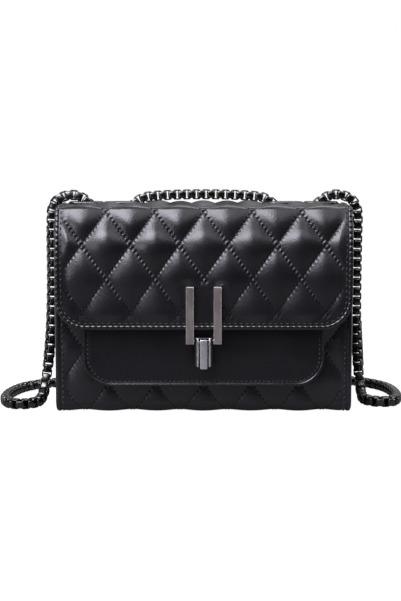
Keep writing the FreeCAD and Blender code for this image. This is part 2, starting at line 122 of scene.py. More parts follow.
# The chain's route, point by point within 3 mm of the CAD's: out of the left inner eyelet, along the top,
# through both right eyelets, down to the surface, round behind the bag and back up at the left.
CHAIN_LAID = 0.0039
CHAIN_ROUTE = (
    (-0.0660, 0.0170, 0.1290), (-0.0590, 0.0170, 0.1290), (-0.0450, 0.0170, 0.1432),
    (-0.0345, 0.0174, 0.1449), (-0.0120, 0.0182, 0.1458), (0.0125, 0.0184, 0.1458),
    (0.0345, 0.0174, 0.1449), (0.0450, 0.0170, 0.1432), (0.0590, 0.0170, 0.1290),
    (0.0700, 0.0170, 0.1290), (0.0860, 0.0170, 0.1462), (0.1008, 0.0170, 0.1452),
    (0.1082, 0.0170, 0.1372), (0.1079, 0.0172, 0.1190), (0.1078, 0.0178, 0.0860),
    (0.1082, 0.0180, 0.0540), (0.1096, 0.0174, 0.0310), (0.1106, 0.0172, 0.0154),
    *((x, y, CHAIN_LAID) for x, y in (
        (0.1114, 0.0065), (0.1126, -0.0032), (0.1194, -0.0102), (0.1285, -0.0104), (0.1345, -0.0030),
        (0.1367, 0.0125), (0.1364, 0.0300), (0.1330, 0.0465), (0.1240, 0.0605), (0.1095, 0.0715),
        (0.0900, 0.0780), (0.0680, 0.0760), (0.0490, 0.0650), (0.0300, 0.0530), (0.0075, 0.0490),
        (-0.0140, 0.0555), (-0.0330, 0.0685), (-0.0540, 0.0775), (-0.0760, 0.0755), (-0.0960, 0.0675),
        (-0.1105, 0.0625), (-0.1230, 0.0550), (-0.1320, 0.0440), (-0.1374, 0.0270), (-0.1394, 0.0085),
        (-0.1373, -0.0088), (-0.1296, -0.0192), (-0.1188, -0.0178), (-0.1122, -0.0052))),
    (-0.1108, 0.0056, 0.0146), (-0.1088, 0.0090, 0.0310), (-0.1070, 0.0124, 0.0540),
    (-0.1063, 0.0156, 0.0860), (-0.1064, 0.0168, 0.1190), (-0.1066, 0.0170, 0.1362),
    (-0.1000, 0.0170, 0.1447), (-0.0850, 0.0170, 0.1458), (-0.0715, 0.0170, 0.1290),
    (-0.0680, 0.0170, 0.1290),
)


def number_value(label, text, value, **more):
    """A number that a user may change."""
    return bpy.props.FloatProperty(name=label, description=text, default=value, **more)


def length_value(label, text, value):
    """A size in metres that a user may change."""
    return number_value(label, text, value, unit="LENGTH", precision=5)


def colour_value(label, text, value):
    """A linear colour that a user may change."""
    return bpy.props.FloatVectorProperty(name=label, description=text, default=value, size=3, min=0.0,
                                         max=1.0, subtype="COLOR")


class QuiltSizes(bpy.types.PropertyGroup):
    """Sizes of the diamond quilting and its stitches."""
    column: length_value("Column", "Distance between diamond corners across the bag", 0.0322)
    half_row: length_value("Half row", "Half the height of a diamond", 0.0226)
    flap_rise: length_value("Flap rise", "Height of a flap pad's crown over its stitch lines", 0.0051)
    flap_valley: length_value("Flap valley", "How far the flap's stitch lines lie below its sheet", 0.0024)
    body_rise: length_value("Body rise", "Height of a body pad's crown over its stitch lines", 0.0023)
    body_valley: length_value("Body valley", "How far the body's stitch lines lie below its sheet", 0.0018)
    pucker: length_value("Pucker", "Height of the leather between two stitches", 0.0004)
    pinhole: length_value("Pinhole", "How deep a stitch pulls the leather in", 0.0007)
    stitches: bpy.props.IntProperty(name="Stitches", description="Stitches along a diamond's side", default=9)
    thread: length_value("Thread", "Radius of the sewing thread", 0.00042)
    edge_pitch: length_value("Edge pitch", "Distance between stitches along the edges", 0.0038)


class ChainSizes(bpy.types.PropertyGroup):
    """Sizes of the box chain."""
    pitch: length_value("Pitch", "Distance from one link to the next", 0.00338)
    width: length_value("Width", "Outer width of a link", 0.0067)
    bar: length_value("Bar", "Thickness of the strip that a link is bent from", 0.00076)
    band: length_value("Band", "Width of the strip that a link is bent from", 0.0050)
    crown: length_value("Crown", "How far the middle of the strip stands out", 0.00022)
    twist: number_value("Twist", "How far the chain turns about itself where it hangs", math.radians(45.0),
                        subtype="ANGLE")


class FinishColours(bpy.types.PropertyGroup):
    """Colours of the leather, cloth and metal."""
    quilted: colour_value("Quilted leather", "Colour of the quilted leather", (0.0050, 0.0050, 0.0062))
    smooth: colour_value("Smooth leather", "Colour of the pocket, edges, gussets", (0.0042, 0.0042, 0.0052))
    lining: colour_value("Lining", "Colour of the lining cloth", (0.0180, 0.0165, 0.0180))
    thread: colour_value("Thread", "Colour of the waxed thread", (0.0150, 0.0150, 0.0165))
    board: colour_value("Board", "Colour of the stiffening board", (0.2100, 0.1750, 0.1300))
    lock: colour_value("Lock metal", "Colour of the brushed bars", (0.9000, 0.7900, 0.7450))
    lever: colour_value("Lever metal", "Colour of the lever's dark body", (0.0850, 0.0840, 0.0860))
    plate: colour_value("Lever plate", "Colour of the lever's brushed plate", (0.9700, 0.9700, 0.9500))
    rail: colour_value("Lever rails", "Colour of the lever's polished rails", (0.9200, 0.9200, 0.9200))
    chain: colour_value("Chain metal", "Colour of the dark chain", (0.1000, 0.0980, 0.0950))
    steel: colour_value("Steel", "Colour of the hidden steel", (0.4200, 0.4200, 0.4300))


class StageSettings(bpy.types.PropertyGroup):
    """The studio round the bag."""
    distance: length_value("Camera distance", "From the camera to the bag's front", 0.850)
    height: length_value("Camera height", "Height of the camera over the floor", 0.1773)
    aside: length_value("Camera aside", "The camera's place along the bag's width", -0.00212)
    pitch: number_value("Camera pitch", "How far the camera looks down", math.radians(6.76), subtype="ANGLE")
    lens: number_value("Lens", "Focal length in millimetres", 76.6)
    key: number_value("Key light", "Strength of the soft key in watts", 18.5)
    low: number_value("Low light", "Strength of the soft lamp under the key in watts", 1.05)
    fill: number_value("Fill light", "Strength of the soft fill in watts", 1.8)
    side: number_value("Side light", "Strength of the left lamp in watts", 1.5)
    right: number_value("Right light", "Strength of the right lamp in watts", 4.2)
    back: number_value("Back light", "Strength of the lamp behind the bag in watts", 4.5)
    floor: colour_value("Floor", "Colour of the pale floor", (0.80, 0.80, 0.81))


def new_mesh_object(name, points, faces):
    """A smooth mesh object in the scene, from points and faces."""
    mesh = bpy.data.meshes.new(name)
    mesh.from_pydata([tuple(p) for p in points], [], faces)
    mesh.polygons.foreach_set("use_smooth", [True] * len(mesh.polygons))
    mesh.update()
    obj = bpy.data.objects.new(name, mesh)
    bpy.context.scene.collection.objects.link(obj)
    return obj


def grid_faces(rows, columns, around=False, first=0, ring=False):
    """Quads of a grid of points; around joins its last column to its first, and ring its rows."""
    faces = []
    for i in range(rows if ring else rows - 1):
        low = first + i * columns
        high = first + (i + 1) % rows * columns
        for j in range(columns if around else columns - 1):
            k = (j + 1) % columns
            faces.append((low + j, low + k, high + k, high + j))
    return faces


def grid_object(name, points, around=False, start=False, end=False, ring=False):
    """A mesh object over a grid of points; start and end close its first and last rows."""
    rows, columns = points.shape[:2]
    faces = grid_faces(rows, columns, around, ring=ring)
    if start:
        faces.append(tuple(range(columns - 1, -1, -1)))
    if end:
        faces.append(tuple(range(rows * columns - columns, rows * columns)))
    return new_mesh_object(name, points.reshape(-1, 3), faces)


def smooth_step(low, high, value):
    """0 below low, 1 above high, and a smooth rise between them."""
    t = np.clip((np.asarray(value) - low) / (high - low), 0.0, 1.0)
    return t * t * (3.0 - 2.0 * t)


def put_on(obj, body, slot, finish, *nodes):
    """Ride the piece on its body, give it its finish and hide the CAD nodes that it stands for; the slot is
    not used.
    """
    obj.data.materials.append(material_for(finish))
    if body:
        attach(obj, body)
    if nodes:
        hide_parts(*nodes)


def new_group(name, inputs, outputs):
    """An empty shader group that reads a vector and the named inputs; gives the tree and its two ends."""
    tree = bpy.data.node_groups.new(name, "ShaderNodeTree")
    tree.interface.new_socket("Vector", in_out="INPUT", socket_type="NodeSocketVector")
    for label, value in inputs.items():
        kind = "NodeSocketFloat" if isinstance(value, float) else "NodeSocketVector"
        tree.interface.new_socket(label, in_out="INPUT", socket_type=kind).default_value = value
    for label in outputs:
        tree.interface.new_socket(label, in_out="OUTPUT", socket_type="NodeSocketFloat")
    return tree, tree.nodes.new("NodeGroupInput").outputs, tree.nodes.new("NodeGroupOutput")


def fill_inputs(tree, made, inputs):
    """Give a node's inputs their values; a socket is linked."""
    for key, value in inputs.items():
        if isinstance(value, bpy.types.NodeSocket):
            tree.links.new(value, made.inputs[key])
        else:
            made.inputs[key].default_value = value


def node(tree, kind, inputs=None, **settings):
    """A node with its settings and inputs."""
    made = tree.nodes.new(kind)
    for key, value in settings.items():
        setattr(made, key, value)
    fill_inputs(tree, made, inputs or {})
    return made


def maths(tree, operation, first, second):
    """A maths node; each value is a socket or a number."""
    return node(tree, "ShaderNodeMath", {0: first, 1: second}, operation=operation).outputs[0]


def leather_grain_group():
    """Pebbled leather: a height for the bump, a tone for the colour and a mask for the gloss."""
    if "leather grain" in bpy.data.node_groups:
        return bpy.data.node_groups["leather grain"]
    tree, enter, leave = new_group("leather grain", {"Pebble Scale": 900.0, "Crease Scale": 130.0},
                                   ("Height", "Tone", "Gloss"))
    place = enter["Vector"]
    pore_scale = maths(tree, "MULTIPLY", enter["Pebble Scale"], 2.3)
    pebbles = node(tree, "ShaderNodeTexVoronoi", {"Vector": place, "Scale": enter["Pebble Scale"]},
                   feature="SMOOTH_F1")
    pores = node(tree, "ShaderNodeTexNoise", {"Vector": place, "Scale": pore_scale, "Detail": 3.0})
    creases = node(tree, "ShaderNodeTexNoise", {"Vector": place, "Scale": enter["Crease Scale"],
                                                "Detail": 4.0, "Distortion": 0.8})
    patches = node(tree, "ShaderNodeTexNoise", {"Vector": place, "Scale": 38.0})
    dome = maths(tree, "SUBTRACT", 1.0, pebbles.outputs["Distance"])
    fine = maths(tree, "MULTIPLY", pores.outputs["Fac"], 0.35)
    fold = maths(tree, "MULTIPLY", creases.outputs["Fac"], 0.9)
    half_fold = maths(tree, "MULTIPLY", creases.outputs["Fac"], 0.5)
    fill_inputs(tree, leave, {
        "Height": maths(tree, "ADD", maths(tree, "ADD", dome, fine), fold),
        "Tone": maths(tree, "ADD", maths(tree, "MULTIPLY", dome, 0.5), half_fold),
        "Gloss": patches.outputs["Fac"],
    })
    return tree


def brushed_group():
    """Brushed metal: fine scratches along one direction."""
    if "brushed lines" in bpy.data.node_groups:
        return bpy.data.node_groups["brushed lines"]
    tree, enter, leave = new_group("brushed lines", {"Across": (4000.0, 4000.0, 150.0)},
                                   ("Height", "Tone", "Smudge"))
    place = enter["Vector"]
    stretch = node(tree, "ShaderNodeVectorMath", {0: place, 1: enter["Across"]}, operation="MULTIPLY")
    lines = node(tree, "ShaderNodeTexNoise", {"Vector": stretch.outputs[0], "Scale": 1.0, "Detail": 3.0})
    smudge = node(tree, "ShaderNodeTexNoise", {"Vector": place, "Scale": 160.0, "Detail": 3.0})
    fill_inputs(tree, leave, {"Height": lines.outputs["Fac"], "Tone": lines.outputs["Fac"],
                              "Smudge": smudge.outputs["Fac"]})
    return tree


def weave_group():
    """A fine twill: crossing threads for the height and a mottled tone."""
    if "fine twill" in bpy.data.node_groups:
        return bpy.data.node_groups["fine twill"]
    tree, enter, leave = new_group("fine twill", {"Thread Scale": 1500.0}, ("Height", "Tone"))
    threads = []
    for way in ("DIAGONAL", "Z"):
        wave = node(tree, "ShaderNodeTexWave", {"Vector": enter["Vector"], "Scale": enter["Thread Scale"]},
                    wave_type="BANDS", bands_direction=way)
        threads.append(wave.outputs["Fac"])
    mottle = node(tree, "ShaderNodeTexNoise", {"Vector": enter["Vector"], "Scale": 90.0})
    fill_inputs(tree, leave, {"Height": maths(tree, "MULTIPLY", *threads), "Tone": mottle.outputs["Fac"]})
    return tree


def new_material(name, source="ShaderNodeTexCoord", output="Object"):
    """A new material's tree, its shader and the places that its nodes read."""
    made = bpy.data.materials.new(name)
    made.use_nodes = True
    tree = made.node_tree
    return tree, tree.nodes["Principled BSDF"], node(tree, source).outputs[output]


def mix_colours(tree, mask, low, high):
    """A colour between two, by a mask."""
    ramp = node(tree, "ShaderNodeValToRGB", {"Fac": mask})
    for stop, colour, position in zip(ramp.color_ramp.elements, (low, high), (0.25, 0.8)):
        stop.color = (*colour, 1.0)
        stop.position = position
    return ramp.outputs["Color"]


def soft_range(tree, value, from_low, from_high, to_low, to_high, rise="SMOOTHSTEP"):
    """Carry a value from one range to another, with a smooth rise unless another is named."""
    inputs = {"Value": value, "From Min": from_low, "From Max": from_high, "To Min": to_low,
              "To Max": to_high}
    return node(tree, "ShaderNodeMapRange", inputs, interpolation_type=rise).outputs["Result"]


def spread(tree, mask, low, high):
    """A value between two, by a mask."""
    return soft_range(tree, mask, 0.25, 0.75, low, high, "LINEAR")


def bump(tree, height, strength, distance):
    """Turn a height into a normal."""
    inputs = {"Strength": strength, "Distance": distance, "Height": height}
    return node(tree, "ShaderNodeBump", inputs).outputs["Normal"]


def tint(colour, factor):
    """A colour made lighter or darker."""
    return tuple(min(1.0, c * factor) for c in colour)


def leather(name, colour, gloss, shine, pebble, depth):
    """Black leather: grain, soft creases and a sheen that varies."""
    tree, shader, place = new_material(name)
    inputs = {"Vector": place, "Pebble Scale": pebble}
    grain = node(tree, "ShaderNodeGroup", inputs, node_tree=leather_grain_group())
    fill_inputs(tree, shader, {
        "Base Color": mix_colours(tree, grain.outputs["Tone"], tint(colour, 0.75), tint(colour, 1.3)),
        "Roughness": spread(tree, grain.outputs["Gloss"], gloss - 0.05, gloss + 0.06),
        "Specular IOR Level": shine,
        "Normal": bump(tree, grain.outputs["Height"], 0.3, depth),
    })


def metal(name, colour, rough, brush, depth):
    """Metal with brush lines along one direction and faint smudges."""
    tree, shader, place = new_material(name)
    inputs = {"Vector": place, "Across": brush}
    lines = node(tree, "ShaderNodeGroup", inputs, node_tree=brushed_group())
    fill_inputs(tree, shader, {
        "Base Color": mix_colours(tree, lines.outputs["Tone"], tint(colour, 0.8), tint(colour, 1.15)),
        "Roughness": spread(tree, lines.outputs["Smudge"], rough - 0.05, rough + 0.07),
        "Metallic": 1.0,
        "Normal": bump(tree, lines.outputs["Height"], 0.2, depth),
    })


def cloth(name, colour, rough, thread, sheen=0.15, shine=0.5):
    """Woven lining cloth, thread or pressed board."""
    tree, shader, place = new_material(name)
    inputs = {"Vector": place, "Thread Scale": thread}
    weave = node(tree, "ShaderNodeGroup", inputs, node_tree=weave_group())
    fill_inputs(tree, shader, {
        "Base Color": mix_colours(tree, weave.outputs["Tone"], tint(colour, 0.75), tint(colour, 1.25)),
        "Roughness": rough,
        "Sheen Weight": sheen,
        "Specular IOR Level": shine,
        "Normal": bump(tree, weave.outputs["Height"], 0.4, 0.0002),
    })


# The bag's finishes: the function that makes each one, its colour's name, a factor on the colour, and the
# function's other values.
FINISHES = {
    "quilted leather": (leather, "quilted", 1.0, (0.34, 0.75, 900.0, 0.00022)),
    "smooth leather": (leather, "smooth", 1.0, (0.31, 0.50, 1100.0, 0.00012)),
    "polished edge": (leather, "smooth", 1.0, (0.25, 0.75, 1300.0, 0.00005)),
    "dark chain metal": (metal, "chain", 1.0, (0.2, (900.0, 900.0, 900.0), 0.00002)),
    "eyelet metal": (metal, "chain", 1.2, (0.36, (700.0, 700.0, 700.0), 0.00001)),
    "brushed bars": (metal, "lock", 1.0, (0.34, (5000.0, 5000.0, 120.0), 0.00003)),
    "plated strike": (metal, "steel", 1.0, (0.3, (900.0, 900.0, 900.0), 0.00002)),
    "dark lever": (metal, "lever", 1.0, (0.24, (1500.0, 1500.0, 300.0), 0.00002)),
    "brushed plate": (metal, "plate", 1.0, (0.4, (7000.0, 7000.0, 200.0), 0.00004)),
    "polished rails": (metal, "rail", 1.0, (0.3, (4000.0, 4000.0, 200.0), 0.00001)),
    "zinc steel": (metal, "steel", 1.0, (0.4, (1200.0, 1200.0, 1200.0), 0.00002)),
    "lining twill": (cloth, "lining", 1.0, (0.75, 1500.0)),
    "waxed thread": (cloth, "thread", 1.0, (0.40, 2600.0)),
    # The quilting thread is the real black thread made five times darker and dull: painted shade of the sewn
    # grooves along its lines.
    "quilting thread": (cloth, "thread", 0.2, (0.8, 2600.0, 0.0, 0.1)),
    "pressed board": (cloth, "board", 1.0, (0.85, 400.0)),
}


def material_for(finish):
    """The material of a finish, made when it is first asked for."""
    if finish not in bpy.data.materials:
        make, colour, factor, values = FINISHES[finish]
        make(finish, tint(getattr(bpy.context.scene.bag_finish, colour), factor), *values)
    return bpy.data.materials[finish]


def lengths_along(places):
    """Length along a line at each of its places, from 0 at the first."""
    return np.concatenate([[0.0], np.cumsum(np.linalg.norm(np.diff(places, axis=0), axis=1))])


def read_along(t, along, values):
    """A line's values at lengths t along it, column by column."""
    return np.stack([np.interp(t, along, column) for column in values.T], axis=-1)


def bent_section(corners, radii):
    """A bent sheet's line in the y-z plane, its corners rounded: lengths, places and outward normals."""
    corners = [np.array(corner, dtype=float) for corner in corners]
    places = []
    normals = []

    def turned(run, angle):
        return np.array([run[0] * math.cos(angle) - run[1] * math.sin(angle),
                         run[0] * math.sin(angle) + run[1] * math.cos(angle)])

    def add(place, run):
        places.append(place)
        normals.append(turned(run, math.pi / 2.0))

    for index, corner in enumerate(corners):
        before = corner - corners[index - 1]
        before = before / np.linalg.norm(before)
        if index == 0:
            after = corners[1] - corner
            add(corner, after / np.linalg.norm(after))
            continue
        if index == len(corners) - 1:
            add(corner, before)
            continue
        after = corners[index + 1] - corner
        after = after / np.linalg.norm(after)
        turn = math.atan2(before[0] * after[1] - before[1] * after[0], before.dot(after))
        hand = math.copysign(math.pi / 2.0, turn)
        radius = radii[index - 1]
        start = corner - before * radius * math.tan(abs(turn) / 2.0)
        centre = start + turned(before, hand) * radius
        for step in range(BEND):
            run = turned(before, turn * step / (BEND - 1))
            add(centre - turned(run, hand) * radius, run)
    places = np.array(places)
    return lengths_along(places), places, np.array(normals)


def on_section(section, x, s, h):
    """Points of a bent sheet: x across, s along its line and h out of it."""
    along, places, normals = section
    y = np.interp(s, along, places[:, 0]) + h * np.interp(s, along, normals[:, 0])
    z = np.interp(s, along, places[:, 1]) + h * np.interp(s, along, normals[:, 1])
    return np.stack([x, y, z], axis=-1)


def outward(section, x, s):
    """Directions out of a bent sheet."""
    level = np.zeros(len(x))
    return (on_section(section, x, s, level + PROBE) - on_section(section, x, s, level)) / PROBE


def diamond(x, q, column):
    """Where a point lies between the two families of stitch lines."""
    return x / column + q / 2.0 + 0.5, x / column - q / 2.0 + 0.5


@functools.lru_cache(maxsize=None)
def swollen_pads():
    """Heights of a set of pads, swollen as cloth sewn down along the diamond lines; the crown is 1."""
    sizes = bpy.context.scene.bag_quilt
    count = PAD_SET * PAD_SIDE + 1
    steps = np.arange(count) / PAD_SIDE
    first, second = np.meshgrid(steps, steps, indexing="ij")
    x = PAD_SCALE * sizes.column * (first + second) / 2.0
    y = PAD_SCALE * sizes.half_row * (first - second)
    line = np.arange(count) % PAD_SIDE == 0
    sewn = line[:, None] | line[None, :]
    points = np.stack([x, y, np.zeros_like(x)], axis=-1)
    points[..., 2] = np.where(sewn, 0.0, ripple(points, 3.1, 0.004))
    sheet = grid_object("pad_sheet", points)
    sheet.vertex_groups.new(name="sewn").add(np.flatnonzero(sewn).tolist(), 1.0, "REPLACE")
    swell = sheet.modifiers.new("swell", "CLOTH")
    swell.settings.quality = 6
    swell.settings.mass = 0.3
    swell.settings.air_damping = 3.0
    swell.settings.tension_stiffness = 5.0
    swell.settings.compression_stiffness = 5.0
    swell.settings.bending_stiffness = 0.5
    swell.settings.vertex_group_mass = "sewn"
    swell.settings.use_pressure = True
    swell.settings.uniform_pressure_force = 4.0
    swell.settings.shrink_min = -0.004
    swell.settings.effector_weights.gravity = 0.0
    swell.collision_settings.use_collision = False
    swell.point_cache.frame_end = PAD_FRAMES
    for step in range(1, PAD_FRAMES + 1):
        bpy.context.scene.frame_set(step)
    settled = sheet.evaluated_get(bpy.context.evaluated_depsgraph_get()).data
    height = np.array([vertex.co.z for vertex in settled.vertices]).reshape(count, count)
    mesh = sheet.data
    bpy.data.objects.remove(sheet)
    bpy.data.meshes.remove(mesh)
    bpy.context.scene.frame_set(1)
    for _ in range(PAD_EVEN):
        around = height[:-2, 1:-1] + height[2:, 1:-1] + height[1:-1, :-2] + height[1:-1, 2:]
        height[1:-1, 1:-1] = around / 4.0
        height[sewn] = 0.0
    return np.maximum(height, 0.0) / height.max()


def between_steps(part):
    """Weights of the four mesh steps round a place, for a smooth curve through them."""
    return (((2.0 - part) * part - 1.0) * part / 2.0, ((3.0 * part - 5.0) * part * part + 2.0) / 2.0,
            ((4.0 - 3.0 * part) * part + 1.0) * part / 2.0, (part - 1.0) * part * part / 2.0)


def pad_height(first, second):
    """Height of the swollen pads between the stitch lines, repeated set by set."""
    pads = swollen_pads()[:-1, :-1]
    size = len(pads)
    step_first, part_first = np.divmod(first * PAD_SIDE, 1.0)
    step_second, part_second = np.divmod(second * PAD_SIDE, 1.0)
    height = 0.0
    for i, weight_first in enumerate(between_steps(part_first), -1):
        row = (step_first.astype(int) + i) % size
        for j, weight_second in enumerate(between_steps(part_second), -1):
            height = height + weight_first * weight_second * pads[row, (step_second.astype(int) + j) % size]
    return height


def quilt_height(x, q, rise, valley, calm):
    """Height of the padded leather over its sheet; calm goes from 1, full pads, to 0, flat."""
    sizes = bpy.context.scene.bag_quilt
    first, second = diamond(x, q, sizes.column)
    gap = sizes.column * 2.0 * sizes.half_row / math.hypot(sizes.column, 2.0 * sizes.half_row)
    each = np.sin(np.floor(first) * 12.9 + np.floor(second) * 78.2) * 0.5
    pad = pad_height(first, second) * (1.0 + 0.07 * each)
    sewn = 0.0
    for across, other in ((first, second), (second, first)):
        beside = np.abs(across - np.round(across)) * gap
        between = 0.5 - 0.5 * np.cos(2.0 * math.pi * sizes.stitches * other)
        sewn = sewn + sizes.pucker * between * np.exp(-(beside / PUCKER_REACH) ** 2)
        sewn = sewn - sizes.pinhole * (1.0 - between) ** 2 * np.exp(-(beside / PINHOLE_REACH) ** 2)
    sewn = sewn * rise / sizes.flap_rise
    return calm * (rise * pad + sewn) - valley * (0.35 + 0.65 * calm)


def ripple(points, scale, amount):
    """Small unevenness of hand-worked leather, the same each run."""
    flat = points.reshape(-1, 3)
    values = [noise.noise(Vector(p) * scale) for p in flat]
    return amount * np.array(values).reshape(points.shape[:-1])


def uneven_sheet(section, x, s, height, scale, amount, calm):
    """Points of a bent sheet at its height, with a small unevenness where calm is 1."""
    uneven = ripple(on_section(section, x, s, height), scale, amount)
    return on_section(section, x, s, height + uneven * calm)


def spaced(start, end, step):
    """Even steps from start to end, both taken in."""
    return np.linspace(start, end, max(2, int(round((end - start) / step)) + 1))


def rounded_rows(low, radius, end, turns, step):
    """Lengths up a sheet with two rounded lower corners, and how far its sides are drawn in at each."""
    corner = low + radius * (1.0 - np.cos(np.radians(np.linspace(0.0, 90.0, turns))))
    along = np.concatenate([corner[:-1], spaced(low + radius, end, step)])
    drop = np.clip(radius - (along - low), 0.0, radius)
    return along, radius - np.sqrt(radius ** 2 - drop ** 2)


def spread_rows(along, half, count):
    """A grid over a sheet: each row's places across its own half width, and its length along the sheet."""
    across = np.linspace(-1.0, 1.0, count)
    return half[:, None] * across[None, :], np.repeat(along[:, None], count, axis=1)


def stitch_threads(name, rows, radius):
    """Short curved threads, one for each row of places and outward directions."""
    last = (len(THREAD_TAPER) - 1) * THREAD_SIDES
    points = []
    faces = []
    for places, out in rows:
        run = places[-1] - places[0]
        run = run / np.linalg.norm(run)
        side = np.cross(run, out)
        first = len(points)
        for place, thick in zip(places, THREAD_TAPER):
            for step in range(THREAD_SIDES):
                angle = 2.0 * math.pi * step / THREAD_SIDES
                points.append(place + radius * thick * (math.cos(angle) * side + math.sin(angle) * out))
        faces.extend(grid_faces(len(THREAD_TAPER), THREAD_SIDES, True, first))
        faces.append(tuple(range(first + THREAD_SIDES - 1, first - 1, -1)))
        faces.append(tuple(range(first + last, first + last + THREAD_SIDES)))
    return new_mesh_object(name, points, faces)


def stitch(section, x, s, h):
    """One stitch on a bent sheet: its places, and the direction out of the sheet at its middle."""
    return on_section(section, x, s, h), outward(section, x[2:3], s[2:3])[0]


def quilt_stitches(section, row, height, allowed):
    """Rows of places for the stitches along both families of quilt lines; row is where the pattern starts."""
    sizes = bpy.context.scene.bag_quilt
    rows = []
    for family in (0, 1):
        for line in range(-QUILT_LINES, QUILT_LINES + 1):
            for index in range(-QUILT_LINES * sizes.stitches, QUILT_LINES * sizes.stitches):
                other = (index + QUILT_SPAN) / sizes.stitches
                first, second = (line, other) if family == 0 else (other, line)
                x = sizes.column * ((first + second) / 2.0 - 0.5)
                s = row + (first - second) * sizes.half_row
                if allowed(x[2], s[2]):
                    rows.append(stitch(section, x, s, height(x, s) + QUILT_LIFT))
    return rows


def swept_band(name, places, side, out, outline, closed=False, pinch=None):
    """A band along places: its outline is given as steps to the side and outward at each place."""
    outline = np.array(outline)
    aside = outline[None, :, 0:1] * side[:, None, :]
    rings = places[:, None, :] + aside + outline[None, :, 1:2] * out[:, None, :]
    if pinch is not None:
        crest = np.clip(1.0 + outline[:, 1] / 0.0016, 0.0, 1.0)
        rings = rings - pinch[:, None, None] * crest[None, :, None] * out[:, None, :]
    return grid_object(name, rings, around=True, start=not closed, end=not closed, ring=closed)


FLAP_SECTION = bent_section(
    ((FLAP_FACE, FLAP_BOTTOM), (FLAP_FACE, 0.1175), (FLAP_FACE + FLAP_LEAN, BODY_TOP), (0.0308, BODY_TOP),
     (0.0308, 0.1215)), (0.075, 0.0045, 0.006))
BODY_SECTION = bent_section(
    ((BODY_BACK, 0.134), (BODY_BACK, 0.0), (BODY_FRONT, 0.0), (BODY_FRONT, MOUTH), (-0.0258, MOUTH),
     (-0.0258, 0.118)), (0.008, 0.008, 0.0015, 0.0015))
FLAP_END = FLAP_SECTION[0][-1]
BODY_END = BODY_SECTION[0][-1]

# Lengths along both lines: the middle of the flap's bend at the fold's front, and where both patterns start.
FLAP_RIDGE = FLAP_SECTION[0][1 + BEND + BEND // 2]
FLAP_ROW = 0.0116
BODY_ROW = BODY_SECTION[0][2 * BEND] + 0.0433 - BODY_SECTION[1][2 * BEND, 1]

# How full the body's pads are at its foot.
FOOT_CALM = 0.45

# Above the one level, in z, the flap's line is on the flat top; before the other, in y, on the front.
TOP_LEVEL = 0.138
FRONT_LEVEL = -0.040


def flap_top_length(y):
    """How far along the flap's line a place on its flat top is."""
    return FLAP_SECTION[0][2 * BEND] + y - FLAP_SECTION[1][2 * BEND, 0]


def open_outline(half, low, radius, high):
    """An outline open at its top, with two rounded lower corners: lengths, places and outward directions."""
    places = [(-half, high), (-half, low + radius)]
    outs = [(-1.0, 0.0), (-1.0, 0.0)]
    for centre, start in ((-half + radius, 180.0), (half - radius, 270.0)):
        for angle in np.radians(start + np.linspace(0.0, 90.0, 25)):
            outs.append((math.cos(angle), math.sin(angle)))
            places.append((centre + radius * math.cos(angle), low + radius + radius * math.sin(angle)))
    places.extend([(half, low + radius), (half, high)])
    outs.extend([(1.0, 0.0), (1.0, 0.0)])
    places = np.array(places)
    # The small steps keep the lengths rising where two places are the same.
    along = lengths_along(places) + np.arange(len(places)) * 1e-9
    return along, places, np.array(outs)


def on_outline(outline, t):
    """Places and outward directions at lengths t along an outline."""
    along, places, outs = outline
    out = read_along(t, along, outs)
    return read_along(t, along, places), out / np.linalg.norm(out, axis=-1)[..., None]


def edge_distance(x, s, half, low, radius):
    """How far inside an outline with two rounded lower corners a point lies."""
    across = np.abs(x) - (half - radius)
    down = (low + radius) - s
    corner = radius - np.hypot(np.maximum(across, 0.0), np.maximum(down, 0.0))
    return np.where((across > 0.0) & (down > 0.0), corner, np.minimum(half - np.abs(x), s - low))


def section_place(section, s):
    """Where a sheet's line is at lengths s, in y and z."""
    along, places = section[:2]
    return np.interp(s, along, places[:, 0]), np.interp(s, along, places[:, 1])


def eyelet_distance(x, y):
    """How far a point of the top strip lies from the nearest eyelet's hole."""
    nearest = np.full(np.shape(x), 1.0)
    for ex, ey in EYELETS:
        away = np.hypot(np.maximum(np.abs(x - ex) - EYELET_STRAIGHT, 0.0), y - ey) - EYELET_ROUND
        nearest = np.minimum(nearest, away)
    return nearest


def flap_half_width(s):
    """Half the width of the flap's leather: narrower on the flap, full on the top strip."""
    y, z = section_place(FLAP_SECTION, s)
    return FLAP_OUTLINE[0] + 0.0012 * smooth_step(0.0, 0.006, np.where(z > 0.13, y, -1.0))


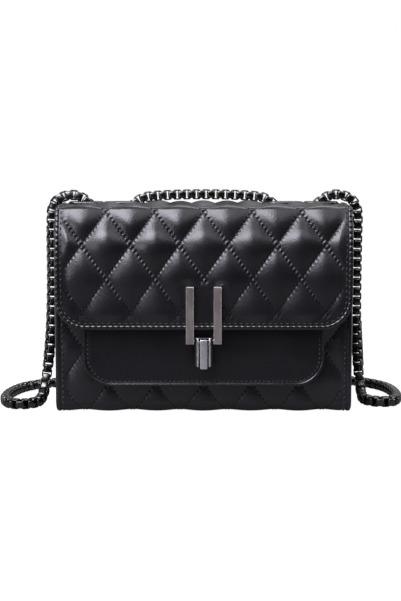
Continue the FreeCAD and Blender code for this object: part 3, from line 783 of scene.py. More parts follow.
def flap_calm(x, s):
    """Where the flap's pads are full and where they are sewn, riveted or bent flat."""
    y, z = section_place(FLAP_SECTION, s)
    on_top = z > TOP_LEVEL
    on_front = y < FRONT_LEVEL
    # Sewn flat along its outline and along the back seam, and pressed flat round the eyelets.
    calm = smooth_step(0.0010, 0.0080, edge_distance(x, s, flap_half_width(s), *FLAP_OUTLINE[1:]))
    calm = calm * smooth_step(0.0010, 0.0065, FLAP_END - s)
    calm = calm * smooth_step(0.0015, 0.0085, np.where(on_top, eyelet_distance(x, y), 1.0))
    # Pressed down under the lock's bars and between them.
    beside = np.maximum(np.abs(np.abs(x) - BAR_MIDDLE) - 0.0026, 0.0)
    bars = np.hypot(beside, np.maximum(z - BAR_TOP, 0.0))
    calm = calm * (0.35 + 0.65 * smooth_step(0.0, 0.0060, np.where(on_front, bars, 1.0)))
    between = np.maximum(np.abs(x) - 0.0065, z - 0.0865)
    calm = calm * (0.15 + 0.85 * smooth_step(0.0, 0.0060, np.where(on_front, between, 1.0)))
    # Drawn flat by the fold, lower on the strip, creased at the ridge and fuller from the lowest row upward.
    bend = np.where(on_top, np.abs(y - HINGE_Y), 1.0)
    calm = calm * (0.45 + 0.55 * smooth_step(0.002, 0.012, bend)) * np.where(on_top, 0.8, 1.0)
    calm = calm * (0.42 + 0.58 * smooth_step(0.0, 0.0220, np.abs(s - FLAP_RIDGE)))
    return calm * (0.46 + 0.54 * smooth_step(0.014, 0.080, s))


def flap_height(x, s):
    """Height of the flap's quilted leather."""
    sizes = bpy.context.scene.bag_quilt
    rise, valley = sizes.flap_rise, sizes.flap_valley
    height = quilt_height(x, (s - FLAP_ROW) / sizes.half_row, rise, valley, flap_calm(x, s))
    return height - 0.0014 * smooth_step(FLAP_END - 0.0016, FLAP_END, s)


def body_calm(x, s):
    """Where the body's pads are full and where they are sewn down."""
    y, z = section_place(BODY_SECTION, s)
    calm = smooth_step(0.0008, 0.0070, BODY_HALF - np.abs(x))
    calm = calm * smooth_step(0.0, 0.012, s) * (FOOT_CALM + (1.0 - FOOT_CALM) * smooth_step(0.002, 0.018, z))
    return calm * np.where(y < 0.0, smooth_step(0.0005, 0.0075, MOUTH - z), 1.0) * (s < BODY_END - 0.010)


def body_height(x, s):
    """Height of the body's quilted leather; its foot stays on the surface."""
    sizes = bpy.context.scene.bag_quilt
    rise, valley = sizes.body_rise, sizes.body_valley
    height = quilt_height(x, (s - BODY_ROW) / sizes.half_row, rise, valley, body_calm(x, s))
    down = -np.interp(s, BODY_SECTION[0], BODY_SECTION[2][:, 1])
    crown_at_foot = FOOT_CALM * 1.05 * rise - (0.35 + 0.65 * FOOT_CALM) * valley
    return height - crown_at_foot * smooth_step(0.1, 0.95, down)


class BAG_OT_body(bpy.types.Operator):
    """Sew the quilted body: back, foot and front in one padded sheet"""
    bl_idname = "bag.body"
    bl_label = "Quilted body"

    def execute(self, context):
        across = spaced(-BODY_HALF, BODY_HALF, 0.0007)
        along = spaced(0.0, BODY_END, 0.0007)
        x, s = np.meshgrid(across, along)
        points = uneven_sheet(BODY_SECTION, x, s, body_height(x, s), 55.0, 0.00022, body_calm(x, s))
        points[..., 2] = np.maximum(points[..., 2], 0.00015)
        sheet = grid_object("quilted_body", points)
        put_on(sheet, "bag_body", "quilted_leather", "quilted leather", "quilted_wrap")

        def allowed(x, s):
            return abs(x) <= 0.0935 and 0.010 < s < BODY_END - 0.016

        # The body's quilting threads carry the painted shade of the seam grooves.
        rows = quilt_stitches(BODY_SECTION, BODY_ROW, body_height, allowed)
        threads = stitch_threads("body_stitches", rows, context.scene.bag_quilt.thread)
        put_on(threads, "bag_body", "quilted_leather", "quilting thread")
        return {"FINISHED"}


class BAG_OT_flap(bpy.types.Operator):
    """Sew the quilted flap, its edge, its lining and its stitches"""
    bl_idname = "bag.flap"
    bl_label = "Quilted flap"

    def execute(self, context):
        self.sew_leather(context)
        self.sew_edge(context)
        self.sew_lining()
        return {"FINISHED"}

    def sew_leather(self, context):
        """The padded sheet from the flap's lower edge over the top to the back seam."""
        sizes = context.scene.bag_quilt
        half, low, radius = FLAP_OUTLINE
        along, drawn_in = rounded_rows(low, radius, FLAP_END, 15, 0.00055)
        x, s = spread_rows(along, flap_half_width(along) - drawn_in, 351)
        points = uneven_sheet(FLAP_SECTION, x, s, flap_height(x, s), 55.0, 0.00025, flap_calm(x, s))
        places = points.reshape(-1, 3)
        faces = []
        for face in grid_faces(*x.shape):
            centre = places[list(face)].mean(axis=0)
            if centre[2] < 0.137 or eyelet_distance(centre[0], centre[1]) > 0.0010:
                faces.append(face)
        sheet = new_mesh_object("quilted_flap", places, faces)
        put_on(sheet, None, "quilted_leather", "quilted leather", "flap_leather")
        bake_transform(sheet)

        def allowed(x, s):
            y, z = section_place(FLAP_SECTION, s)
            if abs(x) > 0.0925 or s < 0.007 or s > FLAP_END - 0.006:
                return False
            if edge_distance(x, s, half, low, radius) < 0.0035:
                return False
            if z > TOP_LEVEL and eyelet_distance(x, y) < 0.0035:
                return False
            return z > 0.0900 or y > FRONT_LEVEL or abs(abs(x) - BAR_MIDDLE) > 0.0030

        quilting = quilt_stitches(FLAP_SECTION, FLAP_ROW, flap_height, allowed)
        outline = open_outline(0.0942, 0.0043, 0.0157, FLAP_END - 0.006)
        back_seam = straight_line((-0.094, FLAP_END - 0.0032), (0.094, FLAP_END - 0.0032))
        edging = seam_stitches(FLAP_SECTION, outline, flap_height, sizes.edge_pitch)
        edging.extend(seam_stitches(FLAP_SECTION, back_seam, flap_height, sizes.edge_pitch))
        for name, rows, thread in (("flap_stitches", quilting, "quilting thread"),
                                   ("flap_edge_stitches", edging, "waxed thread")):
            threads = stitch_threads(name, rows, sizes.thread)
            put_on(threads, None, "quilted_leather", thread)
            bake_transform(threads)

    def sew_edge(self, context):
        """The turned and painted edge along the flap's sides and foot."""
        outline = open_outline(EDGE_HALF, 0.0, 0.020, flap_top_length(HINGE_Y - 0.0006))
        along = spaced(0.0, outline[0][-1], 0.0006)
        places, side, out = outline_frames(FLAP_SECTION, outline, along)
        pinch = 0.00045 * np.cos(math.pi * along / context.scene.bag_quilt.edge_pitch) ** 6
        section = ((-3.4, -1.3), (-3.0, -0.4), (-2.4, 0.0), (-1.6, 0.1), (-1.0, -0.15), (-0.75, -0.4),
                   (-0.45, -0.4), (-0.1, -0.9), (0.0, -1.7), (-0.15, -2.3), (-0.02, -3.0), (0.0, -4.2),
                   (-0.25, -5.1), (-0.9, -5.6), (-3.2, -5.7))
        band = swept_band("flap_edge", places, side, out, np.array(section) * MM, pinch=pinch)
        put_on(band, "flap", "smooth_leather", "polished edge", "flap_binding")

    def sew_lining(self):
        """The cloth inside the flap, which crosses the fold to the top strip."""
        half, low, radius = FLAP_LINING
        along, drawn_in = rounded_rows(low, radius, flap_top_length(0.0042), 12, 0.0016)
        x, s = spread_rows(along, half - drawn_in, 101)
        points = uneven_sheet(FLAP_SECTION, x, s, -LINING_DEPTH, 70.0, 0.00018, 1.0)
        sheet = grid_object("flap_inside", points)
        put_on(sheet, None, "lining_fabric", "lining twill", "flap_lining")
        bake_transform(sheet)


def outline_frames(section, outline, t):
    """Places on a bent sheet along an outline, with the directions to its side and out of it."""
    place, out = on_outline(outline, t)
    x, s = place.T
    normal = outward(section, x, s)
    normal = normal / np.linalg.norm(normal, axis=1)[:, None]
    across = np.array([1.0, 0.0, 0.0])
    side = out[:, 0:1] * across + out[:, 1:2] * np.cross(normal, across)
    return on_section(section, x, s, np.zeros(len(t))), side, normal


def straight_line(start, end):
    """A straight line on a sheet: lengths and places."""
    places = np.array([start, end])
    return lengths_along(places), places


def seam_stitches(section, line, height, pitch):
    """Rows of places for the stitches along a line or an outline on a bent sheet."""
    along, places = line[:2]
    count = int(along[-1] / pitch)
    rows = []
    for index in range(count):
        x, s = read_along((index + SEAM_SPAN) * along[-1] / count, along, places).T
        rows.append(stitch(section, x, s, height(x, s) + SEAM_LIFT))
    return rows


class BAG_OT_side_edges(bpy.types.Operator):
    """Turn the rounded leather edges at both ends of the body"""
    bl_idname = "bag.side_edges"
    bl_label = "Side edges"

    def execute(self, context):
        sizes = context.scene.bag_quilt
        section = bent_section(
            ((BODY_FRONT, MOUTH + 0.0008), (BODY_FRONT, 0.0), (BODY_BACK, 0.0), (BODY_BACK, BODY_TOP),
             (0.0072, BODY_TOP)), (0.008, 0.008, 0.006))
        outline = np.array(((-2.3, -1.6), (-1.9, -0.5), (-1.2, -0.1), (-0.4, 0.0), (0.4, -0.15), (1.0, -0.6),
                            (1.4, -1.4), (1.5, -2.4), (1.35, -3.6), (0.7, -4.3), (-1.4, -4.4))) * MM
        s = spaced(0.0, section[0][-1], 0.0012)
        rows = []
        for hand, side_name in HANDS:
            x = np.full(len(s), hand * EDGE_HALF)
            middle = on_section(section, x, s, np.zeros(len(s)))
            side = np.tile((hand, 0.0, 0.0), (len(s), 1))
            band = swept_band("side_edge_" + side_name, middle, side, -outward(section, x, s), outline)
            put_on(band, "bag_body", "smooth_leather", "polished edge", "side_binding_" + side_name)
            end = BODY_SECTION[0][2 * BEND + 1]
            seam = straight_line((hand * SIDE_SEAM, 0.016), (hand * SIDE_SEAM, end))
            rows.extend(seam_stitches(BODY_SECTION, seam, body_height, sizes.edge_pitch))
        for places, _ in rows:
            places[:, 2] = np.maximum(places[:, 2], 0.0005)
        threads = stitch_threads("side_stitches", rows, sizes.thread)
        put_on(threads, "bag_body", "smooth_leather", "waxed thread")
        return {"FINISHED"}


class BAG_OT_gussets(bpy.types.Operator):
    """Set the soft side gussets, each with its fold and rolled top edge"""
    bl_idname = "bag.gussets"
    bl_label = "Side gussets"

    def execute(self, context):
        z = np.concatenate([np.linspace(0.0016, 0.008, 8), spaced(0.0090, MOUTH, 0.0016)])
        low = np.clip(0.008 - z, 0.0, 0.0074)
        y, level = spread_rows(z, 0.0215 + np.sqrt(0.0075 ** 2 - low ** 2), 61)
        aside = np.abs(np.linspace(-1.0, 1.0, 61))
        crease = np.exp(-(np.abs(y) / 0.0035) ** 1.3)
        fold = 0.0008 * (1.0 - aside) + 0.0010 * crease
        sink = 0.0009 * (1.0 - aside ** 2) + smooth_step(0.010, 0.120, level) * fold
        turns = np.linspace(0.0, 2.0 * math.pi, 13)[:-1]
        ring = np.column_stack([0.9 + 1.1 * np.cos(turns), 0.1 + 0.9 * np.sin(turns)]) * MM
        for hand, side_name in HANDS:
            points = np.stack([hand * (BODY_HALF - sink), y, level], axis=-1)
            points[..., 0] += hand * ripple(points, 80.0, 0.00035)
            panel = grid_object("side_gusset_" + side_name, points)
            put_on(panel, "bag_body", "smooth_leather", "smooth leather", "gusset_" + side_name)
            top = points[-1]
            inward = np.tile((-hand, 0.0, 0.0), (len(top), 1))
            up = np.tile((0.0, 0.0, 1.0), (len(top), 1))
            roll = swept_band("gusset_roll_" + side_name, top, inward, up, ring)
            put_on(roll, "bag_body", "smooth_leather", "smooth leather")
        return {"FINISHED"}


# The pocket: its outline's half width, lowest line and corner radius, its upper edge, how far the raised edge
# and the stitch line lie inside the outline, its stitches' pitch, and the level of the lock's strike plate.
POCKET_OUTLINE = (0.0805, 0.0197, 0.019)
POCKET_TOP = 0.095
POCKET_RIM = 0.0018
POCKET_SEAM = 0.0031
POCKET_PITCH = 0.0030
STRIKE_LEVEL = 0.040


class BAG_OT_pocket(bpy.types.Operator):
    """Set the smooth slip pocket: panel, raised edge, stitch line and lining"""
    bl_idname = "bag.pocket"
    bl_label = "Front pocket"

    def execute(self, context):
        half, low, radius = POCKET_OUTLINE
        flat = bent_section(((POCKET_FACE, 0.0), (POCKET_FACE, 0.2)), ())
        z, drawn_in = rounded_rows(low + POCKET_RIM, radius - POCKET_RIM, POCKET_TOP, 13, 0.0012)
        x, level = spread_rows(z, half - POCKET_RIM - drawn_in, 141)
        points = on_section(flat, x, level, pocket_height(x, level))
        points[..., 1] += ripple(points, 45.0, 0.00025) * smooth_step(0.004, 0.012, half - np.abs(x))
        panel = grid_object("pocket_front", points)
        thick = panel.modifiers.new("leather thickness", "SOLIDIFY")
        thick.thickness = 0.0014
        thick.offset = -1.0
        put_on(panel, "bag_body", "smooth_leather", "smooth leather", "pocket_panel")
        outline = open_outline(half, low, radius, POCKET_TOP)
        places, side, out = outline_frames(flat, outline, spaced(0.0, outline[0][-1], 0.0011))
        rim = ((-2.1, -0.9), (-1.8, -0.15), (-1.3, 0.2), (-0.7, 0.25), (-0.2, 0.0), (0.0, -0.5), (-0.1, -1.1),
               (-0.5, -1.5), (-0.55, -2.4), (-0.35, -4.4), (-0.1, -6.2), (0.35, -7.6), (-0.4, -8.4),
               (-1.6, -8.4))
        edge = swept_band("pocket_edge", places, side, out, np.array(rim) * MM)
        put_on(edge, "bag_body", "smooth_leather", "polished edge", "pocket_piping", "pocket_gusset")
        seam = open_outline(half - POCKET_SEAM, low + POCKET_SEAM, radius - POCKET_SEAM, POCKET_TOP - 0.001)
        rows = seam_stitches(flat, seam, pocket_height, POCKET_PITCH)
        threads = stitch_threads("pocket_stitches", rows, context.scene.bag_quilt.thread)
        put_on(threads, "bag_body", "smooth_leather", "waxed thread")
        self.line_pocket()
        return {"FINISHED"}

    def line_pocket(self):
        """The cloth inside the pocket: down behind the panel and up against the bag."""
        section = bent_section(((-0.0350, 0.0935), (-0.0350, 0.0228), (-0.0324, 0.0228), (-0.0324, 0.0905)),
                               (0.0011, 0.0011))
        s = spaced(0.0, section[0][-1], 0.0015)
        inner = np.clip(0.0387 - section_place(section, s)[1], 0.0, 0.0185)
        x, length = spread_rows(s, 0.0590 + np.sqrt(0.0190 ** 2 - inner ** 2), 61)
        points = on_section(section, x, length, np.zeros(x.shape))
        points[..., 1] += ripple(points, 60.0, 0.00015)
        sheet = grid_object("pocket_inside", points)
        put_on(sheet, "bag_body", "lining_fabric", "lining twill", "pocket_lining")


def pocket_height(x, z):
    """The pocket's soft face: sunk at its stitch line and round the lock, and full between."""
    inside = edge_distance(x, z, *POCKET_OUTLINE)
    groove = np.exp(-((inside - POCKET_SEAM) / 0.0008) ** 2)
    full = 0.0011 * smooth_step(0.0035, 0.026, inside)
    lock = 1.0 - smooth_step(0.006, 0.014, np.hypot(x, z - STRIKE_LEVEL))
    return (full - 0.0004) * (1.0 - lock) - 0.0005 * groove + 0.0001 * lock


# The main compartment's wall: half its length and depth, the radius of its corners, and points round it.
WALL_HALF = (0.0930, 0.0244)
WALL_CORNER = 0.006
WALL_POINTS = 160
QUARTERS = ((1, 1, 0.0), (-1, 1, 90.0), (-1, -1, 180.0), (1, -1, 270.0))


class BAG_OT_lining(bpy.types.Operator):
    """Line the main compartment and face its mouth with leather"""
    bl_idname = "bag.lining"
    bl_label = "Lining"

    def execute(self, context):
        levels = [(0.0235, 0.0058), (0.012, 0.0058), (0.005, 0.0058), (0.0016, 0.0066), (0.0004, 0.0085)]
        levels.extend([(0.0, z) for z in spaced(0.011, 0.110, 0.003)])
        points = wall_rings(levels)
        swell = ripple(points, 45.0, 0.0007)
        away = points - np.array([0.0, 0.0, 0.06])
        points = points - swell[..., None] * away / np.linalg.norm(away, axis=-1)[..., None]
        points[..., 2] = np.maximum(points[..., 2], 0.0054)
        cloth_box = grid_object("bag_lining", points, around=True)
        put_on(cloth_box, "bag_body", "lining_fabric", "lining twill", "lining")
        levels = [(0.0006, 0.1078), (0.0011, 0.1084), (0.0012, 0.1095)]
        levels.extend([(0.0012, z) for z in spaced(0.111, 0.126, 0.0015)])
        levels.extend([(0.0009, 0.1272), (0.0002, 0.1280), (-0.0008, 0.1283), (-0.0018, 0.1280)])
        facing = grid_object("mouth_edge", wall_rings(levels), around=True)
        put_on(facing, "bag_body", "smooth_leather", "smooth leather", "mouth_facing")
        return {"FINISHED"}


def wall_rings(levels):
    """The compartment's wall, ring on ring, each drawn in by its own amount."""
    half_x, half_y = WALL_HALF
    rings = []
    for inset, z in levels:
        corner = max(WALL_CORNER - inset, 0.0005)
        ring = rounded_rectangle(half_x - inset, half_y - inset, corner, WALL_POINTS)
        rings.append(np.column_stack([ring, np.full(WALL_POINTS, z)]))
    return np.array(rings)


def rounded_rectangle(half_x, half_y, radius, count):
    """Evenly spaced points round a rectangle with rounded corners."""
    ring = []
    for sx, sy, start in QUARTERS:
        for step in range(8):
            angle = math.radians(start + 90.0 * step / 7.0)
            ring.append((sx * (half_x - radius) + radius * math.cos(angle),
                         sy * (half_y - radius) + radius * math.sin(angle)))
    ring = np.array(ring + ring[:1])
    along = lengths_along(ring)
    return read_along(np.linspace(0.0, along[-1], count + 1)[:-1], along, ring)


class BAG_OT_eyelets(bpy.types.Operator):
    """Set the four rolled oval eyelets in the top strip"""
    bl_idname = "bag.eyelets"
    bl_label = "Eyelets"

    def execute(self, context):
        names = ("outer_left", "inner_left", "inner_right", "outer_right")
        outline = np.array(((2.05, -0.45), (2.05, 0.15), (1.8, 0.65), (1.3, 0.95), (0.75, 0.95), (0.25, 0.6),
                            (0.0, 0.0), (0.0, -1.5), (0.0, -6.2), (0.25, -6.7), (0.6, -6.2),
                            (0.6, -0.6))) * MM
        for (ex, ey), name in zip(EYELETS, names):
            places = []
            side = []
            for centre, start in ((EYELET_STRAIGHT, -90.0), (-EYELET_STRAIGHT, 90.0)):
                for step in range(17):
                    angle = math.radians(start + 180.0 * step / 16.0)
                    away = np.array([math.cos(angle), math.sin(angle), 0.0])
                    places.append(np.array([ex + centre, ey, BODY_TOP]) + EYELET_ROUND * away)
                    side.append(away)
            up = np.tile((0.0, 0.0, 1.0), (len(places), 1))
            ring = swept_band("oval_eyelet_" + name, np.array(places), np.array(side), up, outline, True)
            put_on(ring, "bag_body", "eyelet_metal", "eyelet metal", "eyelet_" + name)
        return {"FINISHED"}


# The lever: half its width, the radius of its head and that of the edges of its foot, and points round it.
LEVER_HALF = 0.0060
LEVER_HEAD = 0.0031
LEVER_SOFT = 0.0008
LEVER_POINTS = 48

# How much the corners of the CAD's own pieces are softened: the lock's, and those that the leather hides.
LOCK_SOFT = 0.00035
HIDDEN_SOFT = 0.0002


class BAG_OT_lock(bpy.types.Operator):
    """Finish the lock's bars, pin and lever"""
    bl_idname = "bag.lock"
    bl_label = "Lock"

    def execute(self, context):
        for name in ("lock_bar_left", "lock_bar_right"):
            dress_node(name, "brushed bars", LOCK_SOFT)
        for name in ("lock_pin", "lever_magnet", "strike_plate"):
            dress_node(name, "plated strike", LOCK_SOFT)
        self.cast_lever()
        self.add_plate()
        self.add_rails()
        return {"FINISHED"}

    def cast_lever(self):
        """The lever's dark body: a round head about the pin and a straight tongue."""
        pin_y, pin_z = LEVER_PIN
        head = LEVER_HEAD
        soft = LEVER_SOFT
        rings = []
        for z in np.concatenate([LEVER_FOOT + soft * np.linspace(0.0, 1.0, 5), spaced(0.0352, pin_z, 0.001),
                                 pin_z + head * np.sin(np.radians(np.linspace(8.0, 90.0, 12)))]):
            round_head = math.sqrt(max(head ** 2 - max(z - pin_z, 0.0) ** 2, 0.0002 ** 2))
            front = pin_y - min(0.0025, round_head)
            back = pin_y + min(0.0022, round_head)
            foot = soft - math.sqrt(max(soft ** 2 - max(LEVER_FOOT + soft - z, 0.0) ** 2, 0.0))
            half_y = (back - front) / 2.0 - 0.5 * foot
            ring = rounded_rectangle(LEVER_HALF - foot, half_y, min(0.0011, half_y * 0.9), LEVER_POINTS)
            level = np.full(LEVER_POINTS, z)
            rings.append(np.column_stack([ring[:, 0], ring[:, 1] + (front + back) / 2.0, level]))
        shell = grid_object("flip_lever", np.array(rings), around=True, start=True, end=True)
        put_on(shell, "lever", "lock_metal", "dark lever", "lock_lever")

    def add_plate(self):
        """The brushed plate down the lever's middle."""
        rings = []
        for inset, y in ((0.0, -0.0436), (0.0, -0.0449), (0.00006, -0.0451), (0.00018, -0.04525),
                         (0.0004, -0.0453)):
            ring = rounded_rectangle(0.0024 - inset, 0.0098 - inset, 0.0004, LEVER_POINTS)
            rings.append(np.column_stack([ring[:, 0], np.full(LEVER_POINTS, y), ring[:, 1] + 0.0422]))
        plate = grid_object("lever_plate", np.array(rings), around=True, end=True)
        put_on(plate, "lever", "lock_metal", "brushed plate")

    def add_rails(self):
        """Two polished half-round rails beside the plate."""
        half_round = [(0.75 * math.cos(a), 0.85 * math.sin(a)) for a in np.linspace(0.0, math.pi, 11)]
        half_round.extend([(-0.75, -0.4), (0.75, -0.4)])
        z = np.concatenate([[0.0337], spaced(0.0342, 0.0526, 0.002), [0.0531]])
        size = np.array([0.55] + [1.0] * (len(z) - 2) + [0.55])
        for hand, side_name in HANDS:
            places = np.tile((hand * 0.0040, LEVER_FRONT + 0.0001, 0.0), (len(z), 1))
            places[:, 2] = z
            side = np.outer(size, (1.0, 0.0, 0.0))
            out = np.outer(size, (0.0, -1.0, 0.0))
            rail = swept_band("lever_rail_" + side_name, places, side, out, np.array(half_round) * MM)
            put_on(rail, "lever", "lock_metal", "polished rails")


class BAG_OT_hidden(bpy.types.Operator):
    """Finish the boards, plate, rivets and washers that the leather hides"""
    bl_idname = "bag.hidden"
    bl_label = "Boards and fixings"

    def execute(self, context):
        washers = [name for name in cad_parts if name.startswith("eyelet_washer")]
        for name in ("front_board", "back_board", "base_board"):
            dress_node(name, "pressed board", HIDDEN_SOFT)
        for name in washers + ["lock_backing_plate", "lock_rivets", "strike_washer"]:
            dress_node(name, "zinc steel", HIDDEN_SOFT)
        return {"FINISHED"}


def dress_node(name, finish, soft):
    """Give a CAD node its finish and take the sharpness off its corners."""
    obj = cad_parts[name]
    material = material_for(finish)
    if not obj.material_slots:
        obj.data.materials.append(material)
    for slot in obj.material_slots:
        slot.material = material
    rounding = obj.modifiers.new("worn corners", "BEVEL")
    rounding.width = soft
    rounding.segments = 2
    rounding.limit_method = "ANGLE"
    rounding.angle_limit = math.radians(35.0)


# A link's shape: how much longer it is than it has to be, and the radii of its corners and of its edges.
LINK_PLAY = 0.0003
LINK_CORNER = 0.0008
LINK_SOFT = 0.00028

# The hanging runs lie further aside than this. Going up a run, its links turn an edge to the front between
# the first two levels, and turn back between the next two, which are lower at the right.
RUN_ASIDE = 0.100
TURN_FROM = (0.010, 0.034)
LEFT_BACK = (0.116, 0.138)
RIGHT_BACK = (0.045, 0.070)


class BAG_OT_chain(bpy.types.Operator):
    """Lay the closed box chain along its route, link by link"""
    bl_idname = "bag.chain"
    bl_label = "Chain"

    def execute(self, context):
        sizes = context.scene.bag_chain
        route = route_points()
        along = lengths_along(route)
        count = int(round(along[-1] / sizes.pitch / 2.0)) * 2
        places = (np.arange(count) + 0.5) * along[-1] / count
        centres = read_along(places, along, route)
        runs = read_along(places + MM, along, route) - read_along(places - MM, along, route)
        runs /= np.linalg.norm(runs, axis=1)[:, None]
        ring, ring_faces = link_shape(sizes)
        side = np.array([0.0, 1.0, 0.0])
        points = []
        faces = []
        for index, (run, centre) in enumerate(zip(runs, centres)):
            side = side - run * side.dot(run)
            side /= np.linalg.norm(side)
            over = np.cross(run, side)
            turn = self.twist(sizes, centre)
            flat = math.cos(turn) * side + math.sin(turn) * over
            tall = math.cos(turn) * over - math.sin(turn) * side
            first, second = (flat, tall) if index % 2 == 0 else (tall, -flat)
            faces.extend([tuple(v + len(points) for v in face) for face in ring_faces])
            points.extend(centre + ring @ np.stack([run, first, second]))
        chain = new_mesh_object("shoulder_chain", points, faces)
        nodes = [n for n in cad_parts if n.startswith("chain_")]
        put_on(chain, "bag_body", "chain_metal", "dark chain metal", *nodes)
        return {"FINISHED"}

    def twist(self, sizes, place):
        """How far a link is turned about the chain: an edge to the front where it hangs, none elsewhere.

        The upper half of the right run hangs with a face to the front.
        """
        back = LEFT_BACK if place[0] < 0.0 else RIGHT_BACK
        hanging = smooth_step(*TURN_FROM, place[2]) * (1.0 - smooth_step(*back, place[2]))
        return sizes.twist * hanging * (abs(place[0]) > RUN_ASIDE)


def route_points():
    """Points along the chain's smooth line, read from one spline through its route."""
    curve = bpy.data.curves.new("chain_route", "CURVE")
    curve.dimensions = "3D"
    spline = curve.splines.new("NURBS")
    spline.points.add(len(CHAIN_ROUTE) - 1)
    for point, place in zip(spline.points, CHAIN_ROUTE):
        point.co = (*place, 1.0)
    spline.order_u = 3
    spline.use_endpoint_u = True
    spline.resolution_u = 12
    holder = bpy.data.objects.new("chain_route", curve)
    line = bpy.data.meshes.new_from_object(holder)
    points = np.array([tuple(v.co) for v in line.vertices])
    bpy.data.objects.remove(holder)
    bpy.data.curves.remove(curve)
    bpy.data.meshes.remove(line)
    return points


def link_shape(sizes):
    """One box link: a flat bar bent into a rounded square ring, along x, wide in y, its band in z."""
    thick = sizes.bar / 2.0
    band = sizes.band / 2.0
    crown = thick + sizes.crown
    middle_long = sizes.pitch / 2.0 + sizes.bar + LINK_PLAY - thick
    middle_wide = sizes.width / 2.0 - thick
    outline = []
    for sx, sy, start in QUARTERS:
        for step in range(4):
            angle = math.radians(start + 30.0 * step)
            away = np.array([math.cos(angle), math.sin(angle)])
            centre = np.array([sx * (middle_long - LINK_CORNER), sy * (middle_wide - LINK_CORNER)])
            outline.append((centre + LINK_CORNER * away, away))
    soft = LINK_SOFT
    section = ((thick, -band + soft), (crown, -band * 0.45), (crown, band * 0.45), (thick, band - soft),
               (thick - soft, band), (-thick + soft, band), (-thick, band - soft), (-thick, -band + soft),
               (-thick + soft, -band), (thick - soft, -band))
    points = []
    faces = []
    around = len(section)
    for i, (place, away) in enumerate(outline):
        n = (i + 1) % len(outline)
        for j, (off, up) in enumerate(section):
            k = (j + 1) % around
            points.append((*(place + away * off), up))
            faces.append((i * around + j, n * around + j, n * around + k, i * around + k))
    return np.array(points), faces


# The soft lamps: each one's place, what it faces, and its width and height.
LAMPS = (
    ("key", (-0.48, -0.58, 0.90), (0.0, -0.03, 0.11), (0.90, 0.62)),
    ("low", (-0.48, -0.85, 0.64), (0.0, -0.03, 0.11), (0.9, 0.27)),
    ("fill", (0.46, -0.58, 0.90), (0.0, -0.03, 0.11), (0.6, 0.62)),
    ("side", (-0.80, -0.66, 0.19), (0.0, -0.02, 0.07), (0.35, 0.34)),
    ("right", (0.95, 0.02, 0.42), (0.0, 0.0, 0.08), (0.4, 0.6)),
    ("back", (0.25, 0.50, 0.95), (0.0, 0.03, 0.08), (0.9, 0.4)),
)
LAMP_COLOUR = (0.89, 0.88, 1.0)
FLOOR_SIDE = 6.0


class BAG_OT_stage(bpy.types.Operator):
    """Set the pale floor, the soft lights and the camera"""
    bl_idname = "bag.stage"
    bl_label = "Stage"

    def execute(self, context):
        settings = context.scene.bag_stage
        build_floor(settings)
        build_world(context.scene)
        for name, place, target, size in LAMPS:
            add_soft_light(name + "_light", getattr(settings, name), place, target, size)
        camera = bpy.data.cameras.new("photo_camera")
        camera.lens = settings.lens
        camera.sensor_width = 36.0
        camera.clip_start = 0.01
        holder = bpy.data.objects.new("photo_camera", camera)
        holder.location = (settings.aside, BODY_FRONT - settings.distance, settings.height)
        holder.rotation_euler = (math.radians(90.0) - settings.pitch, 0.0, 0.0)
        context.scene.collection.objects.link(holder)
        context.scene.camera = holder
        context.scene.view_settings.view_transform = "Standard"
        return {"FINISHED"}


def build_floor(settings):
    """A wide floor, near white to the camera but for the bag's shadow; to the bag it darkens to the front."""
    corners = [(x * FLOOR_SIDE, y * FLOOR_SIDE, 0.0) for x, y in ((-1, -1), (1, -1), (1, 1), (-1, 1))]
    floor = new_mesh_object("floor", corners, [(0, 1, 2, 3)])
    tree, shader, spot = new_material("pale floor", "ShaderNodeNewGeometry", "Position")
    fill_inputs(tree, shader, {"Base Color": (*tint(settings.floor, 0.18), 1.0), "Roughness": 0.9,
                               "Specular IOR Level": 0.1})
    toward_back = node(tree, "ShaderNodeSeparateXYZ", {0: spot}).outputs["Y"]
    behind = soft_range(tree, toward_back, 0.03, 0.25, 0.0, 1.0)
    shade = soft_range(tree, toward_back, -0.34, -0.08, 0.035, 0.20)
    dark = node(tree, "ShaderNodeBsdfDiffuse", {"Color": shade})
    glow = node(tree, "ShaderNodeEmission", {"Strength": 0.96})
    pale = node(tree, "ShaderNodeAddShader", {0: shader.outputs[0], 1: glow.outputs[0]})
    show_backdrop(tree, behind, dark, pale, tree.nodes["Material Output"])
    floor.data.materials.append(bpy.data.materials["pale floor"])


def build_world(scene):
    """White to the camera and, where the backdrop is, to reflections; else a dim room, brighter overhead."""
    world = bpy.data.worlds.new("studio")
    scene.world = world
    world.use_nodes = True
    tree = world.node_tree
    tree.nodes.clear()
    place = node(tree, "ShaderNodeTexCoord")
    split = node(tree, "ShaderNodeSeparateXYZ", {0: place.outputs["Generated"]})
    overhead = soft_range(tree, split.outputs["Z"], 0.15, 1.0, 0.0, 0.30)
    behind = soft_range(tree, split.outputs["Y"], 0.35, 0.95, 0.0, 0.3)
    room = maths(tree, "ADD", overhead, 0.025)
    plain = (1.0, 1.0, 1.0, 1.0)
    white = node(tree, "ShaderNodeBackground", {"Color": plain, "Strength": 1.0})
    dim = node(tree, "ShaderNodeBackground", {"Color": plain, "Strength": room})
    show_backdrop(tree, behind, dim, white, node(tree, "ShaderNodeOutputWorld"))


def show_backdrop(tree, behind, dim, white, out):
    """White for rays from the camera, through glass, and reflected to where the backdrop stands; else dim."""
    path = node(tree, "ShaderNodeLightPath")
    seen = maths(tree, "MAXIMUM", path.outputs["Is Camera Ray"], path.outputs["Is Transmission Ray"])
    reflected = maths(tree, "MULTIPLY", path.outputs["Is Glossy Ray"], behind)
    mask = maths(tree, "MAXIMUM", seen, reflected)
    mix = node(tree, "ShaderNodeMixShader", {"Fac": mask, 1: dim.outputs[0], 2: white.outputs[0]})
    tree.links.new(mix.outputs[0], out.inputs["Surface"])


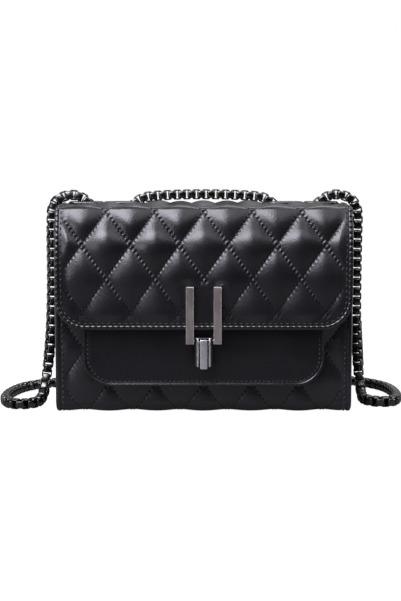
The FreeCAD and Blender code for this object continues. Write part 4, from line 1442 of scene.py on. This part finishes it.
def add_soft_light(name, power, place, target, size):
    """A large soft panel of light that faces the bag."""
    lamp = bpy.data.lights.new(name, "AREA")
    lamp.shape = "RECTANGLE"
    lamp.size, lamp.size_y = size
    lamp.energy = power
    lamp.color = LAMP_COLOUR
    holder = bpy.data.objects.new(name, lamp)
    holder.location = place
    holder.rotation_euler = (Vector(target) - Vector(place)).to_track_quat("-Z", "Y").to_euler()
    bpy.context.scene.collection.objects.link(holder)


PIECES = (
    BAG_OT_chain,
    BAG_OT_body,
    BAG_OT_side_edges,
    BAG_OT_gussets,
    BAG_OT_pocket,
    BAG_OT_flap,
    BAG_OT_lining,
    BAG_OT_eyelets,
    BAG_OT_lock,
    BAG_OT_hidden,
    BAG_OT_stage,
)


class BAG_PT_panel(bpy.types.Panel):
    """The bag's sizes, colours and pieces"""
    bl_idname = "BAG_PT_panel"
    bl_label = "Chain shoulder bag"
    bl_space_type = "VIEW_3D"
    bl_region_type = "UI"
    bl_category = "Bag"

    def draw(self, context):
        for owner, group in SETTINGS:
            box = self.layout.box()
            for name in group.__annotations__:
                box.prop(getattr(context.scene, owner), name)
        for piece in PIECES:
            self.layout.operator(piece.bl_idname)


SETTINGS = (
    ("bag_quilt", QuiltSizes),
    ("bag_chain", ChainSizes),
    ("bag_finish", FinishColours),
    ("bag_stage", StageSettings),
)


def register():
    """Register the classes and hang the settings on the scene."""
    for name, group in SETTINGS:
        bpy.utils.register_class(group)
        setattr(bpy.types.Scene, name, bpy.props.PointerProperty(type=group))
    for piece in PIECES:
        bpy.utils.register_class(piece)
    bpy.utils.register_class(BAG_PT_panel)


def unregister():
    """Take the classes and settings away again."""
    bpy.utils.unregister_class(BAG_PT_panel)
    for piece in reversed(PIECES):
        bpy.utils.unregister_class(piece)
    for name, group in reversed(SETTINGS):
        delattr(bpy.types.Scene, name)
        bpy.utils.unregister_class(group)


def main():
    """Build every piece in order."""
    register()
    bpy.ops.bag.chain()
    bpy.ops.bag.body()
    bpy.ops.bag.side_edges()
    bpy.ops.bag.gussets()
    bpy.ops.bag.pocket()
    bpy.ops.bag.flap()
    bpy.ops.bag.lining()
    bpy.ops.bag.eyelets()
    bpy.ops.bag.lock()
    bpy.ops.bag.hidden()
    bpy.ops.bag.stage()


if __name__ == "__main__":
    main()
